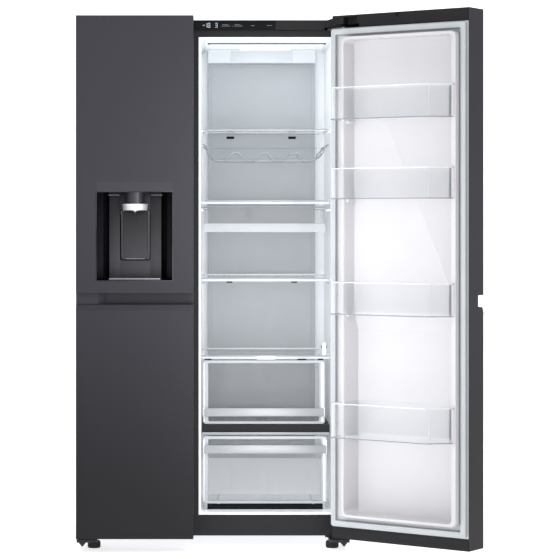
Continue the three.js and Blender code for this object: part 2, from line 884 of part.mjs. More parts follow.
/** Plastic end cap of a door, with a bush for the hinge pin; the top one has the arm's slot and a pocket. */
function doorCap(door, upper) {
  const edge = sheet + fit;
  const z = upper ? [capTopBottom, doorTop - fit] : [doorBottom + fit, capBottomTop];
  const body = block([door.left + edge, door.right - edge], [edge, doorDepth], z);
  const corners = [door.left, door.right].map((x) => rounding(x, x === door.left ? 1 : -1, doorCornerRadius));
  const bossEnd = upper ? capTopBottom - 27 : capBottomTop + 4;
  const bossRoot = upper ? capTopBottom + 1 : capBottomTop - 1;
  const boss = rod(
    "z",
    [door.hingeX, hingeSetback, (bossEnd + bossRoot) / 2],
    hingeBossRadius,
    Math.abs(bossRoot - bossEnd),
    20,
  );
  const pinHole = upper
    ? rod("z", [door.hingeX, hingeSetback, caseTop], hingePinRadius + fit, 2 * hingePinLength + 2, 16)
    : rod("z", [door.hingeX, hingeSetback, doorBottom], hingePinRadius + fit, 2 * hingePinLength + 2, 16);
  const tools = [pinHole, ...corners];
  if (upper) {
    const { side, hingeEdge } = door;
    const slotInner = hingeEdge - side * 106;
    const slotX = [Math.min(slotInner, hingeEdge + side), Math.max(slotInner, hingeEdge + side)];
    tools.push(block(slotX, [hingeSetback - hingeSlotReach, doorDepth + 1], [caseTop - fit, caseTop + hingeSlotHeight]));
    const pocketFar = hingeEdge - side * 98;
    const pocketNear = hingeEdge - side * 45;
    const pocketX = [Math.min(pocketFar, pocketNear), Math.max(pocketFar, pocketNear)];
    tools.push(block(pocketX, [doorDepth - 30, doorDepth + 1], [caseTop, doorTop - 6]));
  }
  return cut(join(body, boss), ...tools);
}

/** Soft seal around a door's inner face: a narrow neck under a wider magnet strip, eased beyond the hinge pin. */
function doorGasket(door) {
  const x = [door.left + gasketInset, door.right - gasketInset];
  const z = [capBottomTop + gasketInset, capTopBottom - gasketInset];
  const ring = (inset, width, y) => {
    const shape = roundRectangle([x[0] + inset, x[1] - inset], [z[0] + inset, z[1] - inset], 4);
    const inner = inset + width;
    shape.holes.push(roundRectangle([x[0] + inner, x[1] - inner], [z[0] + inner, z[1] - inner], 3));
    return alongY(shape, y, 1);
  };
  const neck = ring(4, gasketWidth - 8, [doorDepth + fit, doorDepth + 8]);
  const magnet = ring(0, gasketWidth, [doorDepth + 7, caseFront - fit]);
  const reliefX = [door.hingeX + door.side * gasketReliefStart, door.hingeEdge];
  const relief = block(
    [Math.min(...reliefX), Math.max(...reliefX)],
    [caseFront - gasketRelief, caseFront],
    [doorBottom, doorTop],
  );
  return cut(join(neck, magnet), relief);
}

/** Outline of a door bin seen from above, inset from its outer wall. */
function binOutline(door, back, reach, inset) {
  const { compartment, side } = door;
  const hingeWall = (side > 0 ? compartment.right : compartment.left) - side * (dikeInset + dikeWall + binPlay + inset);
  const hingeEnd = (side > 0 ? compartment.right : compartment.left) - side * (binHingeClearance + inset);
  const meetingWall = (side > 0 ? compartment.left : compartment.right)
    + side * (dikeInset + (side > 0 ? meetingDikeWall : dikeWall) + binPlay + inset);
  const meetingEnd = (side > 0 ? compartment.left : compartment.right) + side * (binMeetingClearance + inset);
  const dikeTop = doorDepth + dikeHeight + binPlay + inset;
  const front = doorDepth + reach - inset;
  const radius = Math.max(binCornerRadius - inset, 2);
  const shape = new THREE.Shape();
  shape.moveTo(hingeWall, back + inset);
  shape.lineTo(hingeWall, dikeTop);
  shape.lineTo(hingeEnd, dikeTop);
  shape.lineTo(hingeEnd, front - radius);
  shape.absarc(
    hingeEnd - side * radius,
    front - radius,
    radius,
    side > 0 ? 0 : Math.PI,
    Math.PI / 2,
    side < 0,
  );
  shape.lineTo(meetingEnd + side * (binSlant + 4), front);
  shape.quadraticCurveTo(meetingEnd + side * binSlant, front, meetingEnd + side * (binSlant - 5), front - 8);
  shape.lineTo(meetingEnd + side * 4, dikeTop + 10);
  shape.quadraticCurveTo(meetingEnd, dikeTop + 6, meetingEnd, dikeTop);
  shape.lineTo(meetingWall, dikeTop);
  shape.lineTo(meetingWall, back + inset);
  return shape;
}

/** A clear open bin that hangs in a door. */
function doorBin(door, bin, back, reach) {
  const low = doorBottom + bin.rise;
  const outer = alongZ(binOutline(door, back, reach, 0), [low, low + bin.height], 5);
  const inner = alongZ(binOutline(door, back, reach, binWall), [low + binWall, low + bin.height + 1], 5);
  return cut(outer, inner);
}

/** How far back a fridge door bin reaches into the recess. */
function binBack(bin) {
  const deep = bin.rise + bin.height < recessStepHeight;
  return doorDepth - (deep ? recessLowerDepth : recessUpperDepth) + binPlay;
}

/** Two small rests on the recess's side walls under a bin. */
function binRests(door, bin) {
  const { compartment, side } = door;
  const z = [doorBottom + bin.rise - 10, doorBottom + bin.rise - fit];
  const y = [binBack(bin) + 10, doorDepth + 20];
  const reach = 9;
  const hingeWall = compartment.right - dikeInset - dikeWall;
  const meetingWall = compartment.left + dikeInset + meetingDikeWall;
  return side > 0
    ? [block([hingeWall - reach, hingeWall + 1], y, z), block([meetingWall - 1, meetingWall + reach], y, z)]
    : [];
}

// ---------------------------------------------------------------- dispenser

/** Plastic well of the dispenser, with its drip tray's lip and two lugs for the paddle. */
function dispenserHousing() {
  const { middle } = freezerDoor;
  const low = doorBottom + dispenserRise;
  const shell = cut(dispenserSpace(dispenserWall, 0.2), dispenserSpace(0, -1));
  const halfBack = dispenserWidth / 2 - dispenserTaper;
  const tray = block([middle - halfBack, middle + halfBack], [12, dispenserDepth + 1], [low - 1, low + trayHeight]);
  const lugs = [-1, 1].map((end) => {
    const face = middle + end * (paddleWidth / 2 + 1);
    const outer = face + end * 5;
    return block(
      [Math.min(face, outer), Math.max(face, outer)],
      [paddleAxisY() - 6, dispenserDepth + 1],
      [paddleAxisZ() - 6, paddleAxisZ() + 6],
    );
  });
  const pinHole = rod(
    "x",
    [middle, paddleAxisY(), paddleAxisZ()],
    paddlePinRadius + fit,
    paddleWidth + 8,
    12,
  );
  return cut(join(shell, tray, ...lugs), pinHole);
}

function paddleAxisY() {
  return dispenserDepth - paddleTravelRoom;
}

function paddleAxisZ() {
  return doorBottom + dispenserRise + dispenserHeight - paddleDrop - 5;
}

/** The lever that a glass pushes back, with its pivot pin at the top. */
function dispenserPaddle() {
  const { middle } = freezerDoor;
  const top = paddleAxisZ() + 5;
  const plate = alongY(
    roundRectangle(
      [middle - paddleWidth / 2, middle + paddleWidth / 2],
      [top - paddleHeight, top],
      5,
    ),
    [paddleAxisY() - paddleThickness / 2, paddleAxisY() + paddleThickness / 2],
  );
  const pin = rod("x", [middle, paddleAxisY(), paddleAxisZ()], paddlePinRadius, paddleWidth + 7, 12);
  return join(plate, pin);
}

/** Ice chute with its bright ring and the water nozzle under the recess's roof. */
function dispenserChute() {
  const roof = doorBottom + dispenserRise + dispenserHeight - fit;
  const ringTop = roof - chuteLength;
  const ringBottom = ringTop - chuteRingHeight;
  const y = chuteRingRadius + 2;
  const body = turned([
    [0, ringBottom + 6],
    [chuteRadius - 6, ringBottom + 6],
    [chuteRadius - 3, ringBottom],
    [chuteRingRadius - 1, ringBottom],
    [chuteRingRadius, ringBottom + 1],
    [chuteRingRadius, ringTop - 1],
    [chuteRingRadius - 1, ringTop],
    [chuteRadius, ringTop],
    [chuteRadius, roof],
    [0, roof],
  ], 32);
  const nozzle = rod("z", [0, 0, ringBottom + (8 - nozzleLength) / 2], 6, nozzleLength + 8, 12);
  return join(body, nozzle).translate([freezerDoor.middle, y, 0]);
}

// ---------------------------------------------------------------- shelves, drawers and fittings

/** A glass shelf with a deeper front lip. */
function shelf(top, lip) {
  const profile = outline([
    [shelfFront, top - lip],
    [shelfFront + frontLipDepth, top - lip],
    [shelfFront + frontLipDepth, top - shelfPlate],
    [shelfBack, top - shelfPlate],
    [shelfBack, top],
    [shelfFront + 1, top],
    [shelfFront, top - 1],
  ]);
  return alongX(profile, [fridge.left + shelfSideGap, fridge.right - shelfSideGap]);
}

/** The deck between the crispers, with a tall front band and a lower lip. */
function crisperDivider() {
  const front = shelfFront - 8;
  const top = dividerBottom + dividerHeight;
  const profile = outline([
    [front, dividerBottom],
    [front + 10, dividerBottom],
    [front + 10, top - shelfPlate],
    [shelfBack, top - shelfPlate],
    [shelfBack, top],
    [front, top],
  ]);
  return alongX(profile, [fridge.left + shelfSideGap, fridge.right - shelfSideGap]);
}

/** An open drawer with round corners and a rolled rim around its top. */
function drawer(x, y, z, rim) {
  const shape = (inset) =>
    roundRectangle([x[0] + inset, x[1] - inset], [y[0] + inset, y[1] - inset], Math.max(drawerRadius - inset, 2));
  const tub = alongZ(shape(rim), z);
  const collar = alongZ(shape(0), [z[1] - drawerCollar, z[1]]);
  const hollow = alongZ(shape(rim + drawerWall), [z[0] + drawerWall, z[1] + 1]);
  return cut(join(tub, collar), hollow);
}

/** A crisper: a drawer with a hand grip standing out along its front, its top a drop below the rim. */
function crisper(x, y, z, gripDrop) {
  const top = z[1] - gripDrop;
  const bottom = top - gripHeight;
  const root = y[0] + drawerRim + drawerWall - 1;
  const grip = outline([
    [root, top],
    [y[0] - gripReach + 4, top],
    [y[0] - gripReach, top - 4],
    [y[0] - gripReach, bottom + 4],
    [y[0] - gripReach + 4, bottom],
    [y[0] - gripReach + 6, bottom],
    [y[0] - gripReach + 6, top - 10],
    [root, top - 10],
  ]);
  return join(drawer(x, y, z, drawerRim), alongX(grip, [x[0] + 22, x[1] - 22]));
}

/** Scalloped cradle for bottles lying down, with hooked ends that hang on the side walls. */
function wineRack() {
  const left = fridge.left + shelfSideGap;
  const right = fridge.right - shelfSideGap;
  const margin = 16;
  const pitch = (right - left - 2 * margin) / bottlePlaces;
  const low = wineRackBottom;
  const saddle = low + 30;
  const half = Math.min(bottleRadius, pitch / 2 - 6);
  const floor = [[left, low + wineRackHeight], [left + 6, low + wineRackHeight]];
  const roof = [];
  for (let place = 0; place < bottlePlaces; place += 1) {
    const centre = left + margin + (place + 0.5) * pitch;
    for (let step = 0; step <= 8; step += 1) {
      const angle = Math.PI * (1 + step / 8);
      const drop = Math.sin(angle) * (saddle - low - wineRackPlate);
      floor.push([centre + Math.cos(angle) * half, saddle + drop]);
      roof.push([centre + Math.cos(angle) * (half + wineRackPlate), saddle + drop - wineRackPlate]);
    }
  }
  floor.push([right - 6, low + wineRackHeight], [right, low + wineRackHeight]);
  const under = [[right, low + wineRackHeight - 8], ...roof.reverse(), [left, low + wineRackHeight - 8]];
  return alongY(outline([...floor, ...under]), [shelfFront + 6, shelfFront + 6 + wineRackDepth]);
}

/** Upright panel on the back wall that spreads the cold air. */
function ductPanel() {
  return block(
    [fridge.left + ductSideGap, fridge.right - ductRightGap],
    [fridge.back - ductDepth, fridge.back - fit],
    [machineTop + machineFoam + 8, fridge.top - ceilingHousingHeight - fit],
  );
}

/** Air outlet and lamp housing under the ceiling at the back. */
function ceilingHousing() {
  const top = fridge.top - fit;
  const bottom = fridge.top - ceilingHousingHeight;
  const back = fridge.back - fit;
  const front = fridge.back - ductDepth - ceilingHousingDepth;
  const profile = outline([
    [front, top],
    [front + 4, bottom],
    [back, bottom],
    [back, top],
  ]);
  return alongX(profile, [fridge.left + ductSideGap, fridge.right - ductRightGap]);
}

// ---------------------------------------------------------------- freezer fittings

function freezerRange() {
  return [freezer.left + freezerSideGap, freezer.right - freezerSideGap];
}

function freezerDrawer(level) {
  const low = freezer.bottom + freezerDrawerSpace + level * (freezerDrawerHeight + freezerDrawerSpace);
  const shallow = machineFront - machineFoam - stepBack;
  const back = level === 0 ? shallow : freezer.back - evaporatorCoverGap - coverSheet - 6;
  const lift = level === 0 ? 0 : 22;
  return drawer(
    freezerRange(),
    [caseFront + freezerDrawerSetback, back],
    [low + lift, low + lift + freezerDrawerHeight],
    drawerRim,
  );
}

function freezerShelf() {
  const top = freezer.bottom + freezerShelfRise;
  return block(
    [freezer.left + shelfSideGap, freezer.right - shelfSideGap],
    [shelfFront, freezer.back - evaporatorCoverGap - coverSheet - 2],
    [top - shelfPlate, top],
  );
}

function iceBucket() {
  const low = freezer.bottom + freezerShelfRise + fit;
  return drawer(
    freezerRange(),
    [shelfFront - 15, shelfFront - 15 + iceBucketDepth],
    [low, low + iceBucketHeight],
    drawerRim,
  );
}

/** Ice maker: a tray with cross walls beside its motor box, held under the ceiling. */
function iceMaker() {
  const x = freezerRange();
  const top = freezer.top - iceMakerDrop;
  const y = [shelfFront + 20, shelfFront + 20 + iceBucketDepth * 0.75];
  const motor = block([x[1] - 70, x[1] - 6], y, [top - iceMakerHeight, top]);
  const tray = block([x[0] + 10, x[1] - 60], [y[0] + 10, y[1] - 10], [top - 60, top - 12]);
  const pitch = (y[1] - y[0] - 40) / 7;
  const cells = Array.from({ length: 7 }, (_, cell) => block(
    [x[0] + 16, x[1] - 76],
    [y[0] + 20 + cell * pitch, y[0] + 16 + (cell + 1) * pitch],
    [top - 52, top],
  ));
  const hanger = block([x[0] + 60, x[1] - 20], [y[1] - 14, y[1] - 6], [top - 40, freezer.top - fit]);
  return join(cut(join(motor, tray), ...cells), hanger);
}

function evaporatorCover() {
  const back = freezer.back - evaporatorCoverGap;
  return block(
    [freezer.left + fit, freezer.right - fit],
    [back - coverSheet, back],
    [machineTop + machineFoam + fit, freezer.bottom + freezerShelfRise - 30],
  );
}

/** A block of parallel fins on straight tubes that run along X. */
function finnedCoil(x, y, z, fins, tubeRows) {
  const pitch = (x[1] - x[0]) / (fins - 1);
  const plates = Array.from({ length: fins }, (_, fin) => {
    const at = x[0] + fin * pitch;
    return block([at - 0.8, at + 0.8], y, z);
  });
  const tubes = Array.from({ length: tubeRows }, (_, row) => {
    const height = z[0] + ((row + 0.5) * (z[1] - z[0])) / tubeRows;
    return rod("x", [(x[0] + x[1]) / 2, (y[0] + y[1]) / 2, height], 5, x[1] - x[0] + 12, 6);
  });
  return join(plates[0], ...tubes, ...plates.slice(1));
}

function evaporator() {
  const low = machineTop + machineFoam + 40;
  return finnedCoil(
    [freezer.left + 24, freezer.right - 24],
    [freezer.back - 66, freezer.back - 8],
    [low, low + 300],
    7,
    3,
  );
}

/** An axial fan rotor about its own Z axis. */
function fanRotor(radius, hubRadius, depth, blades) {
  const hub = rod("z", [0, 0, 0], hubRadius, depth, 20);
  const length = radius - hubRadius + 3;
  const vanes = Array.from({ length: blades }, (_, index) => {
    const vane = new THREE.BoxGeometry(length, hubRadius * 1.5, 2);
    vane.rotateX(0.6);
    vane.translate(hubRadius - 3 + length / 2, 0, 0);
    return vane.rotateZ((2 * Math.PI * index) / blades);
  });
  return join(hub, ...vanes);
}

// ---------------------------------------------------------------- machine compartment

const machineFloor = caseBottom + 2 * sheet;
const machineMiddle = (machineFront + stepBack + caseBack) / 2;

/** Sealed compressor on its foot plate. */
function compressor() {
  const radius = 66;
  const top = machineFloor + 150;
  const pod = turned([
    [0, machineFloor + 10],
    [radius * 0.7, machineFloor + 12],
    [radius, machineFloor + 34],
    [radius, top - 34],
    [radius * 0.72, top - 6],
    [0, top],
  ], 24);
  const foot = block([-92, 92], [-48, 48], [machineFloor + 10, machineFloor + 14]);
  const grommets = [-1, 1].flatMap((side) => [-1, 1].map((end) =>
    rod("z", [side * 80, end * 36, machineFloor + 7 + fit / 2], 9, 14 - fit, 12)));
  const terminalBox = block([radius - 8, radius + 22], [-22, 22], [machineFloor + 50, machineFloor + 96]);
  return join(pod, foot, ...grommets, terminalBox).translate([caseRight - sideWall - 110, machineMiddle, 0]);
}

/** Condenser coil with the ring and motor that carry its fan. */
function condenser() {
  const x = [caseLeft + 60, caseLeft + 250];
  const y = [machineMiddle - 78, machineMiddle + 78];
  const z = [machineFloor + 8, machineFloor + 158];
  const coil = finnedCoil(x, y, z, 7, 2);
  const foot = block([x[0] - 4, x[1] + 90], [y[0] + 10, y[1] - 10], [machineFloor + fit, machineFloor + 10]);
  const ring = cut(
    block([x[1] + 30, x[1] + 54], y, z),
    rod("x", [x[1] + 42, machineMiddle, fanHeight()], fanRadius + 4, 60, 24),
  );
  const motor = rod("x", [x[1] + 80, machineMiddle, fanHeight()], 18, 24, 16);
  const bridge = block([x[1] + 72, x[1] + 84], [machineMiddle - 6, machineMiddle + 6], [machineFloor + 4, fanHeight()]);
  return join(coil, foot, ring, motor, bridge);
}

const fanRadius = 68;
function fanHeight() {
  return machineFloor + 83;
}

function fanPlace() {
  return [caseLeft + 250 + 42, machineMiddle, fanHeight()];
}

/** Slotted cover over the machine compartment, with the gland that the supply lead would pass through. */
function rearCover() {
  const inside = sheet + fit;
  const x = [caseLeft + inside, caseRight - inside];
  const z = [caseBottom + 2 * sheet + fit, machineTop];
  const y = [caseBack - sheet, caseBack];
  const plate = block(x, y, z);
  const slotPitch = 26;
  const slots = [-1, 1].flatMap((side) => Array.from({ length: 9 }, (_, index) => {
    const middle = side * 260 + (index - 4) * slotPitch;
    return block([middle - 5, middle + 5], [y[0] - 1, y[1] + 1], [z[0] + 50, z[1] - 40]);
  }));
  const glandPlace = [0, caseBack - 5, z[0] + 60];
  const gland = rod("y", glandPlace, 14, 10, 20);
  const leadHole = rod("y", glandPlace, 5, 30, 12);
  return cut(join(plate, gland), leadHole, ...slots);
}

// ---------------------------------------------------------------- assembly

/** A group that turns about a door's hinge pins, and the group inside it where the closed door is drawn. */
function doorGroups(door, angle) {
  const swing = new THREE.Group();
  swing.position.set(door.hingeX, hingeSetback, 0);
  swing.rotation.z = THREE.MathUtils.degToRad(angle);
  const closed = new THREE.Group();
  closed.position.set(-door.hingeX, -hingeSetback, 0);
  swing.add(closed);
  return { swing, closed };
}

function buildCabinet() {
  const group = new THREE.Group();
  const fridgeRibs = [...shelfLedges(), ...drawerLedges(), ...floorRibs()];
  addPart(group, "outer_case", outerCase(), caseSteel);
  addPart(group, "back_panel", backPanel(), zincSteel);
  addPart(group, "front_frame", frontFrame(), caseSteel);
  addPart(group, "insulation", insulation(), foam);
  addPart(group, "fridge_liner", compartmentLiner(fridge, fridgeRibs), whitePlastic);
  addPart(group, "freezer_liner", compartmentLiner(freezer, []), whitePlastic);
  addPart(group, "top_cover", topCover(), blackPlastic);
  addPart(group, "display_panel", displayBlock(0, 0), glossBlack);
  addPart(group, "base_plate", basePlate(), zincSteel);
  addPart(group, "upper_hinge_left", upperHinge(freezerDoor), chrome);
  addPart(group, "upper_hinge_right", upperHinge(fridgeDoor), chrome);
  addPart(group, "lower_hinge_left", lowerHinge(freezerDoor), blackPlastic);
  addPart(group, "lower_hinge_right", lowerHinge(fridgeDoor), blackPlastic);
  return group;
}

function buildRunningGear() {
  const group = new THREE.Group();
  for (const [side, hand] of [[-1, "left"], [1, "right"]]) {
    addPart(group, `levelling_foot_${hand}`, levellingFoot(), rubber).position.set(...footPlace(side, 0));
    const wheel = addPart(group, `rear_roller_${hand}`, roller(), rubber);
    wheel.position.set(side * (caseRight - rollerInset), caseFront + rollerSetback, rollerRadius);
  }
  return group;
}

function buildMachineCompartment() {
  const group = new THREE.Group();
  addPart(group, "compressor", compressor(), compressorBlack);
  addPart(group, "condenser", condenser(), copperFins);
  addPart(group, "rear_cover", rearCover(), zincSteel);
  const fan = addPart(group, "condenser_fan", fanRotor(fanRadius, 18, 18, 5), blackPlastic);
  fan.position.set(...fanPlace());
  fan.rotation.y = Math.PI / 2;
  return group;
}

function buildFridgeCompartment() {
  const group = new THREE.Group();
  const crisperX = [fridge.left + crisperLeftGap, fridge.right - crisperSideGap];
  const slideX = [crisperX[0], fridge.right - doorSideGap];
  const snackX = [fridge.left + snackLeftGap, fridge.right - snackRightGap];
  addPart(group, "duct_panel", ductPanel(), greyPlastic);
  addPart(group, "ceiling_housing", ceilingHousing(), whitePlastic);
  addPart(group, "shelf_upper", shelf(upperShelfTop, upperShelfLip), shelfGlass);
  addPart(group, "shelf_middle", shelf(middleShelfTop, shelfLip), shelfGlass);
  addPart(group, "shelf_lower", shelf(lowerShelfTop, shelfLip), shelfGlass);
  addPart(group, "crisper_cover", shelf(crisperCoverTop, shelfLip), shelfGlass);
  addPart(group, "crisper_divider", crisperDivider(), blackPlastic);
  addPart(group, "wine_rack", wineRack(), clearPlastic);
  addPart(group, "snack_drawer", drawer(
    snackX,
    [shelfFront, shelfFront + snackDrawerDepth],
    [snackDrawerBottom, snackDrawerBottom + snackDrawerHeight],
    drawerRim,
  ), frostedPlastic);
  addPart(group, "upper_crisper", crisper(
    slideX,
    [caseFront + upperCrisperSetback + 8, shelfBack - 6],
    [upperCrisperBottom, upperCrisperBottom + upperCrisperHeight],
    upperGripDrop,
  ), clearPlastic);
  addPart(group, "lower_crisper", crisper(
    crisperX,
    [caseFront + lowerCrisperSetback, crisperBack],
    [lowerCrisperBottom, lowerCrisperBottom + lowerCrisperHeight],
    lowerGripDrop,
  ), clearPlastic);
  return group;
}

function buildFreezerCompartment() {
  const group = new THREE.Group();
  addPart(group, "evaporator_cover", evaporatorCover(), whitePlastic);
  addPart(group, "evaporator", evaporator(), copperFins);
  addPart(group, "freezer_shelf", freezerShelf(), shelfGlass);
  addPart(group, "ice_bucket", iceBucket(), frostedPlastic);
  addPart(group, "ice_maker", iceMaker(), whitePlastic);
  addPart(group, "freezer_drawer_lower", freezerDrawer(0), clearPlastic);
  addPart(group, "freezer_drawer_upper", freezerDrawer(1), clearPlastic);
  const fan = addPart(group, "evaporator_fan", fanRotor(52, 15, 16, 5), blackPlastic);
  fan.position.set((freezer.left + freezer.right) / 2, freezer.back - 40, machineTop + machineFoam + 420);
  fan.rotation.x = -Math.PI / 2;
  return group;
}

function addDoorShell(group, door) {
  addPart(group, `${door.prefix}_skin`, doorSkin(door), doorSteel);
  addPart(group, `${door.prefix}_core`, doorCore(door), foam);
  addPart(group, `${door.prefix}_liner`, doorLiner(door), whitePlastic);
  addPart(group, `${door.prefix}_top_cap`, doorCap(door, true), blackPlastic);
  addPart(group, `${door.prefix}_bottom_cap`, doorCap(door, false), blackPlastic);
  addPart(group, `${door.prefix}_gasket`, doorGasket(door), gasketGrey);
}

function buildFreezerDoor() {
  const { swing, closed } = doorGroups(freezerDoor, 0);
  addDoorShell(closed, freezerDoor);
  addPart(closed, "dispenser_housing", dispenserHousing(), glossBlack);
  addPart(closed, "dispenser_chute", dispenserChute(), chrome);
  addPart(closed, "dispenser_paddle", dispenserPaddle(), blackPlastic);
  const bin = { rise: freezerBinRise, height: freezerBinHeight };
  addPart(closed, "freezer_door_bin", doorBin(freezerDoor, bin, doorDepth + binPlay, freezerBinReach), clearPlastic);
  return swing;
}

function buildFridgeDoor() {
  const { swing, closed } = doorGroups(fridgeDoor, openAngle);
  addDoorShell(closed, fridgeDoor);
  for (const bin of fridgeBins) addPart(closed, bin.name, doorBin(fridgeDoor, bin, binBack(bin), binReach), clearPlastic);
  return swing;
}

const refrigerator = new THREE.Group();
refrigerator.add(
  buildCabinet(),
  buildRunningGear(),
  buildMachineCompartment(),
  buildFridgeCompartment(),
  buildFreezerCompartment(),
  buildFreezerDoor(),
  buildFridgeDoor(),
);

// The origin is on the floor, under the middle of the whole object as it stands with its right door open.
refrigerator.updateMatrixWorld(true);
const bounds = new THREE.Box3().setFromObject(refrigerator, true);
const middle = bounds.getCenter(new THREE.Vector3());
refrigerator.position.set(-middle.x, -middle.y, -bounds.min.z);

export default refrigerator;
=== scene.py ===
"""Side by side refrigerator: finishes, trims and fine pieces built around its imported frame.

Lengths are metres. Every sub-assembly is drawn in the frame of the closed cabinet: X across the front
from its middle, Y from the closed door fronts to the back, Z up from the floor. A Placement then moves
what was drawn to where the sub-assembly stands.
"""

import json
import logging
import math
from dataclasses import dataclass, replace
from enum import Enum

import bmesh
import bpy
from mathutils import Matrix, Vector


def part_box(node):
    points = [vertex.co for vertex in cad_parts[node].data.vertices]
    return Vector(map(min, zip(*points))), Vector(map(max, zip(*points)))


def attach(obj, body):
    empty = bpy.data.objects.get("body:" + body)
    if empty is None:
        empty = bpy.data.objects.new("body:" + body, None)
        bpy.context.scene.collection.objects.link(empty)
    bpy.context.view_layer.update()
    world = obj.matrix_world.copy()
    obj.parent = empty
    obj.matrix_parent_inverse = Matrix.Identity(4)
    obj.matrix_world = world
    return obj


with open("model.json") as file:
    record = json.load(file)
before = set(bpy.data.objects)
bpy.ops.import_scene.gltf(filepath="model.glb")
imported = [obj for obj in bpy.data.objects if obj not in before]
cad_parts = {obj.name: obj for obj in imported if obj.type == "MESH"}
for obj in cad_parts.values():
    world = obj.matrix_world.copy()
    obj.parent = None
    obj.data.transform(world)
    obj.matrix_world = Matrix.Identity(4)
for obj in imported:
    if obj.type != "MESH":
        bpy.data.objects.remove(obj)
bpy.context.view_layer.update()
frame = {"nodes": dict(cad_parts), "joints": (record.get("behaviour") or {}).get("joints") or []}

log = logging.getLogger("refrigerator")

Point = tuple[float, float, float]
Flat = tuple[float, float]
Colour = tuple[float, float, float]

SMOOTH_ANGLE = math.radians(35)
BEVEL_ANGLE = math.radians(40)
WELD_GAP = 0.00002
FINE_BEVEL = 0.0005
ALONG_Y = (0, 1, 0)
HANDLE_CREST_RISE = 0.778


def srgb(red: int, green: int, blue: int) -> Colour:
    """Linear colour of a screen colour.

    Args:
        red: Red, from 0 to 255.
        green: Green, from 0 to 255.
        blue: Blue, from 0 to 255.

    Returns:
        The same colour in linear light.
    """
    shares = (channel / 255 for channel in (red, green, blue))
    return tuple(s / 12.92 if s <= 0.04045 else ((s + 0.055) / 1.055) ** 2.4 for s in shares)


# ------------------------------------------------------------------------------------- shaders


class Value:
    """A number at a shader socket, so that sums over a surface read as sums."""

    def __init__(self, shader: "Shader", socket: bpy.types.NodeSocket) -> None:
        """Keeps the shader and the socket."""
        self.shader = shader
        self.socket = socket

    def _sum(self, operation: str, *terms: "Value | float") -> "Value":
        """A Math node of one operation on its terms, in order."""
        node = self.shader.node("ShaderNodeMath", {"operation": operation}, dict(enumerate(terms)))
        return Value(self.shader, node.outputs[0])

    def __add__(self, other: "Value | float") -> "Value":
        """This plus other."""
        return self._sum("ADD", self, other)

    def __radd__(self, other: float) -> "Value":
        """Other plus this."""
        return self._sum("ADD", other, self)

    def __sub__(self, other: "Value | float") -> "Value":
        """This minus other."""
        return self._sum("SUBTRACT", self, other)

    def __rsub__(self, other: float) -> "Value":
        """Other minus this."""
        return self._sum("SUBTRACT", other, self)

    def __mul__(self, other: "Value | float") -> "Value":
        """This times other."""
        return self._sum("MULTIPLY", self, other)

    def __rmul__(self, other: float) -> "Value":
        """Other times this."""
        return self._sum("MULTIPLY", other, self)

    def __pow__(self, power: float) -> "Value":
        """This to a power."""
        return self._sum("POWER", self, power)

    def rise(self, low: float, high: float) -> "Value":
        """A smooth rise from 0 at low to 1 at high."""
        node = self.shader.node(
            "ShaderNodeMapRange",
            {"interpolation_type": "SMOOTHSTEP"},
            {"Value": self, "From Min": low, "From Max": high},
        )
        return Value(self.shader, node.outputs[0])


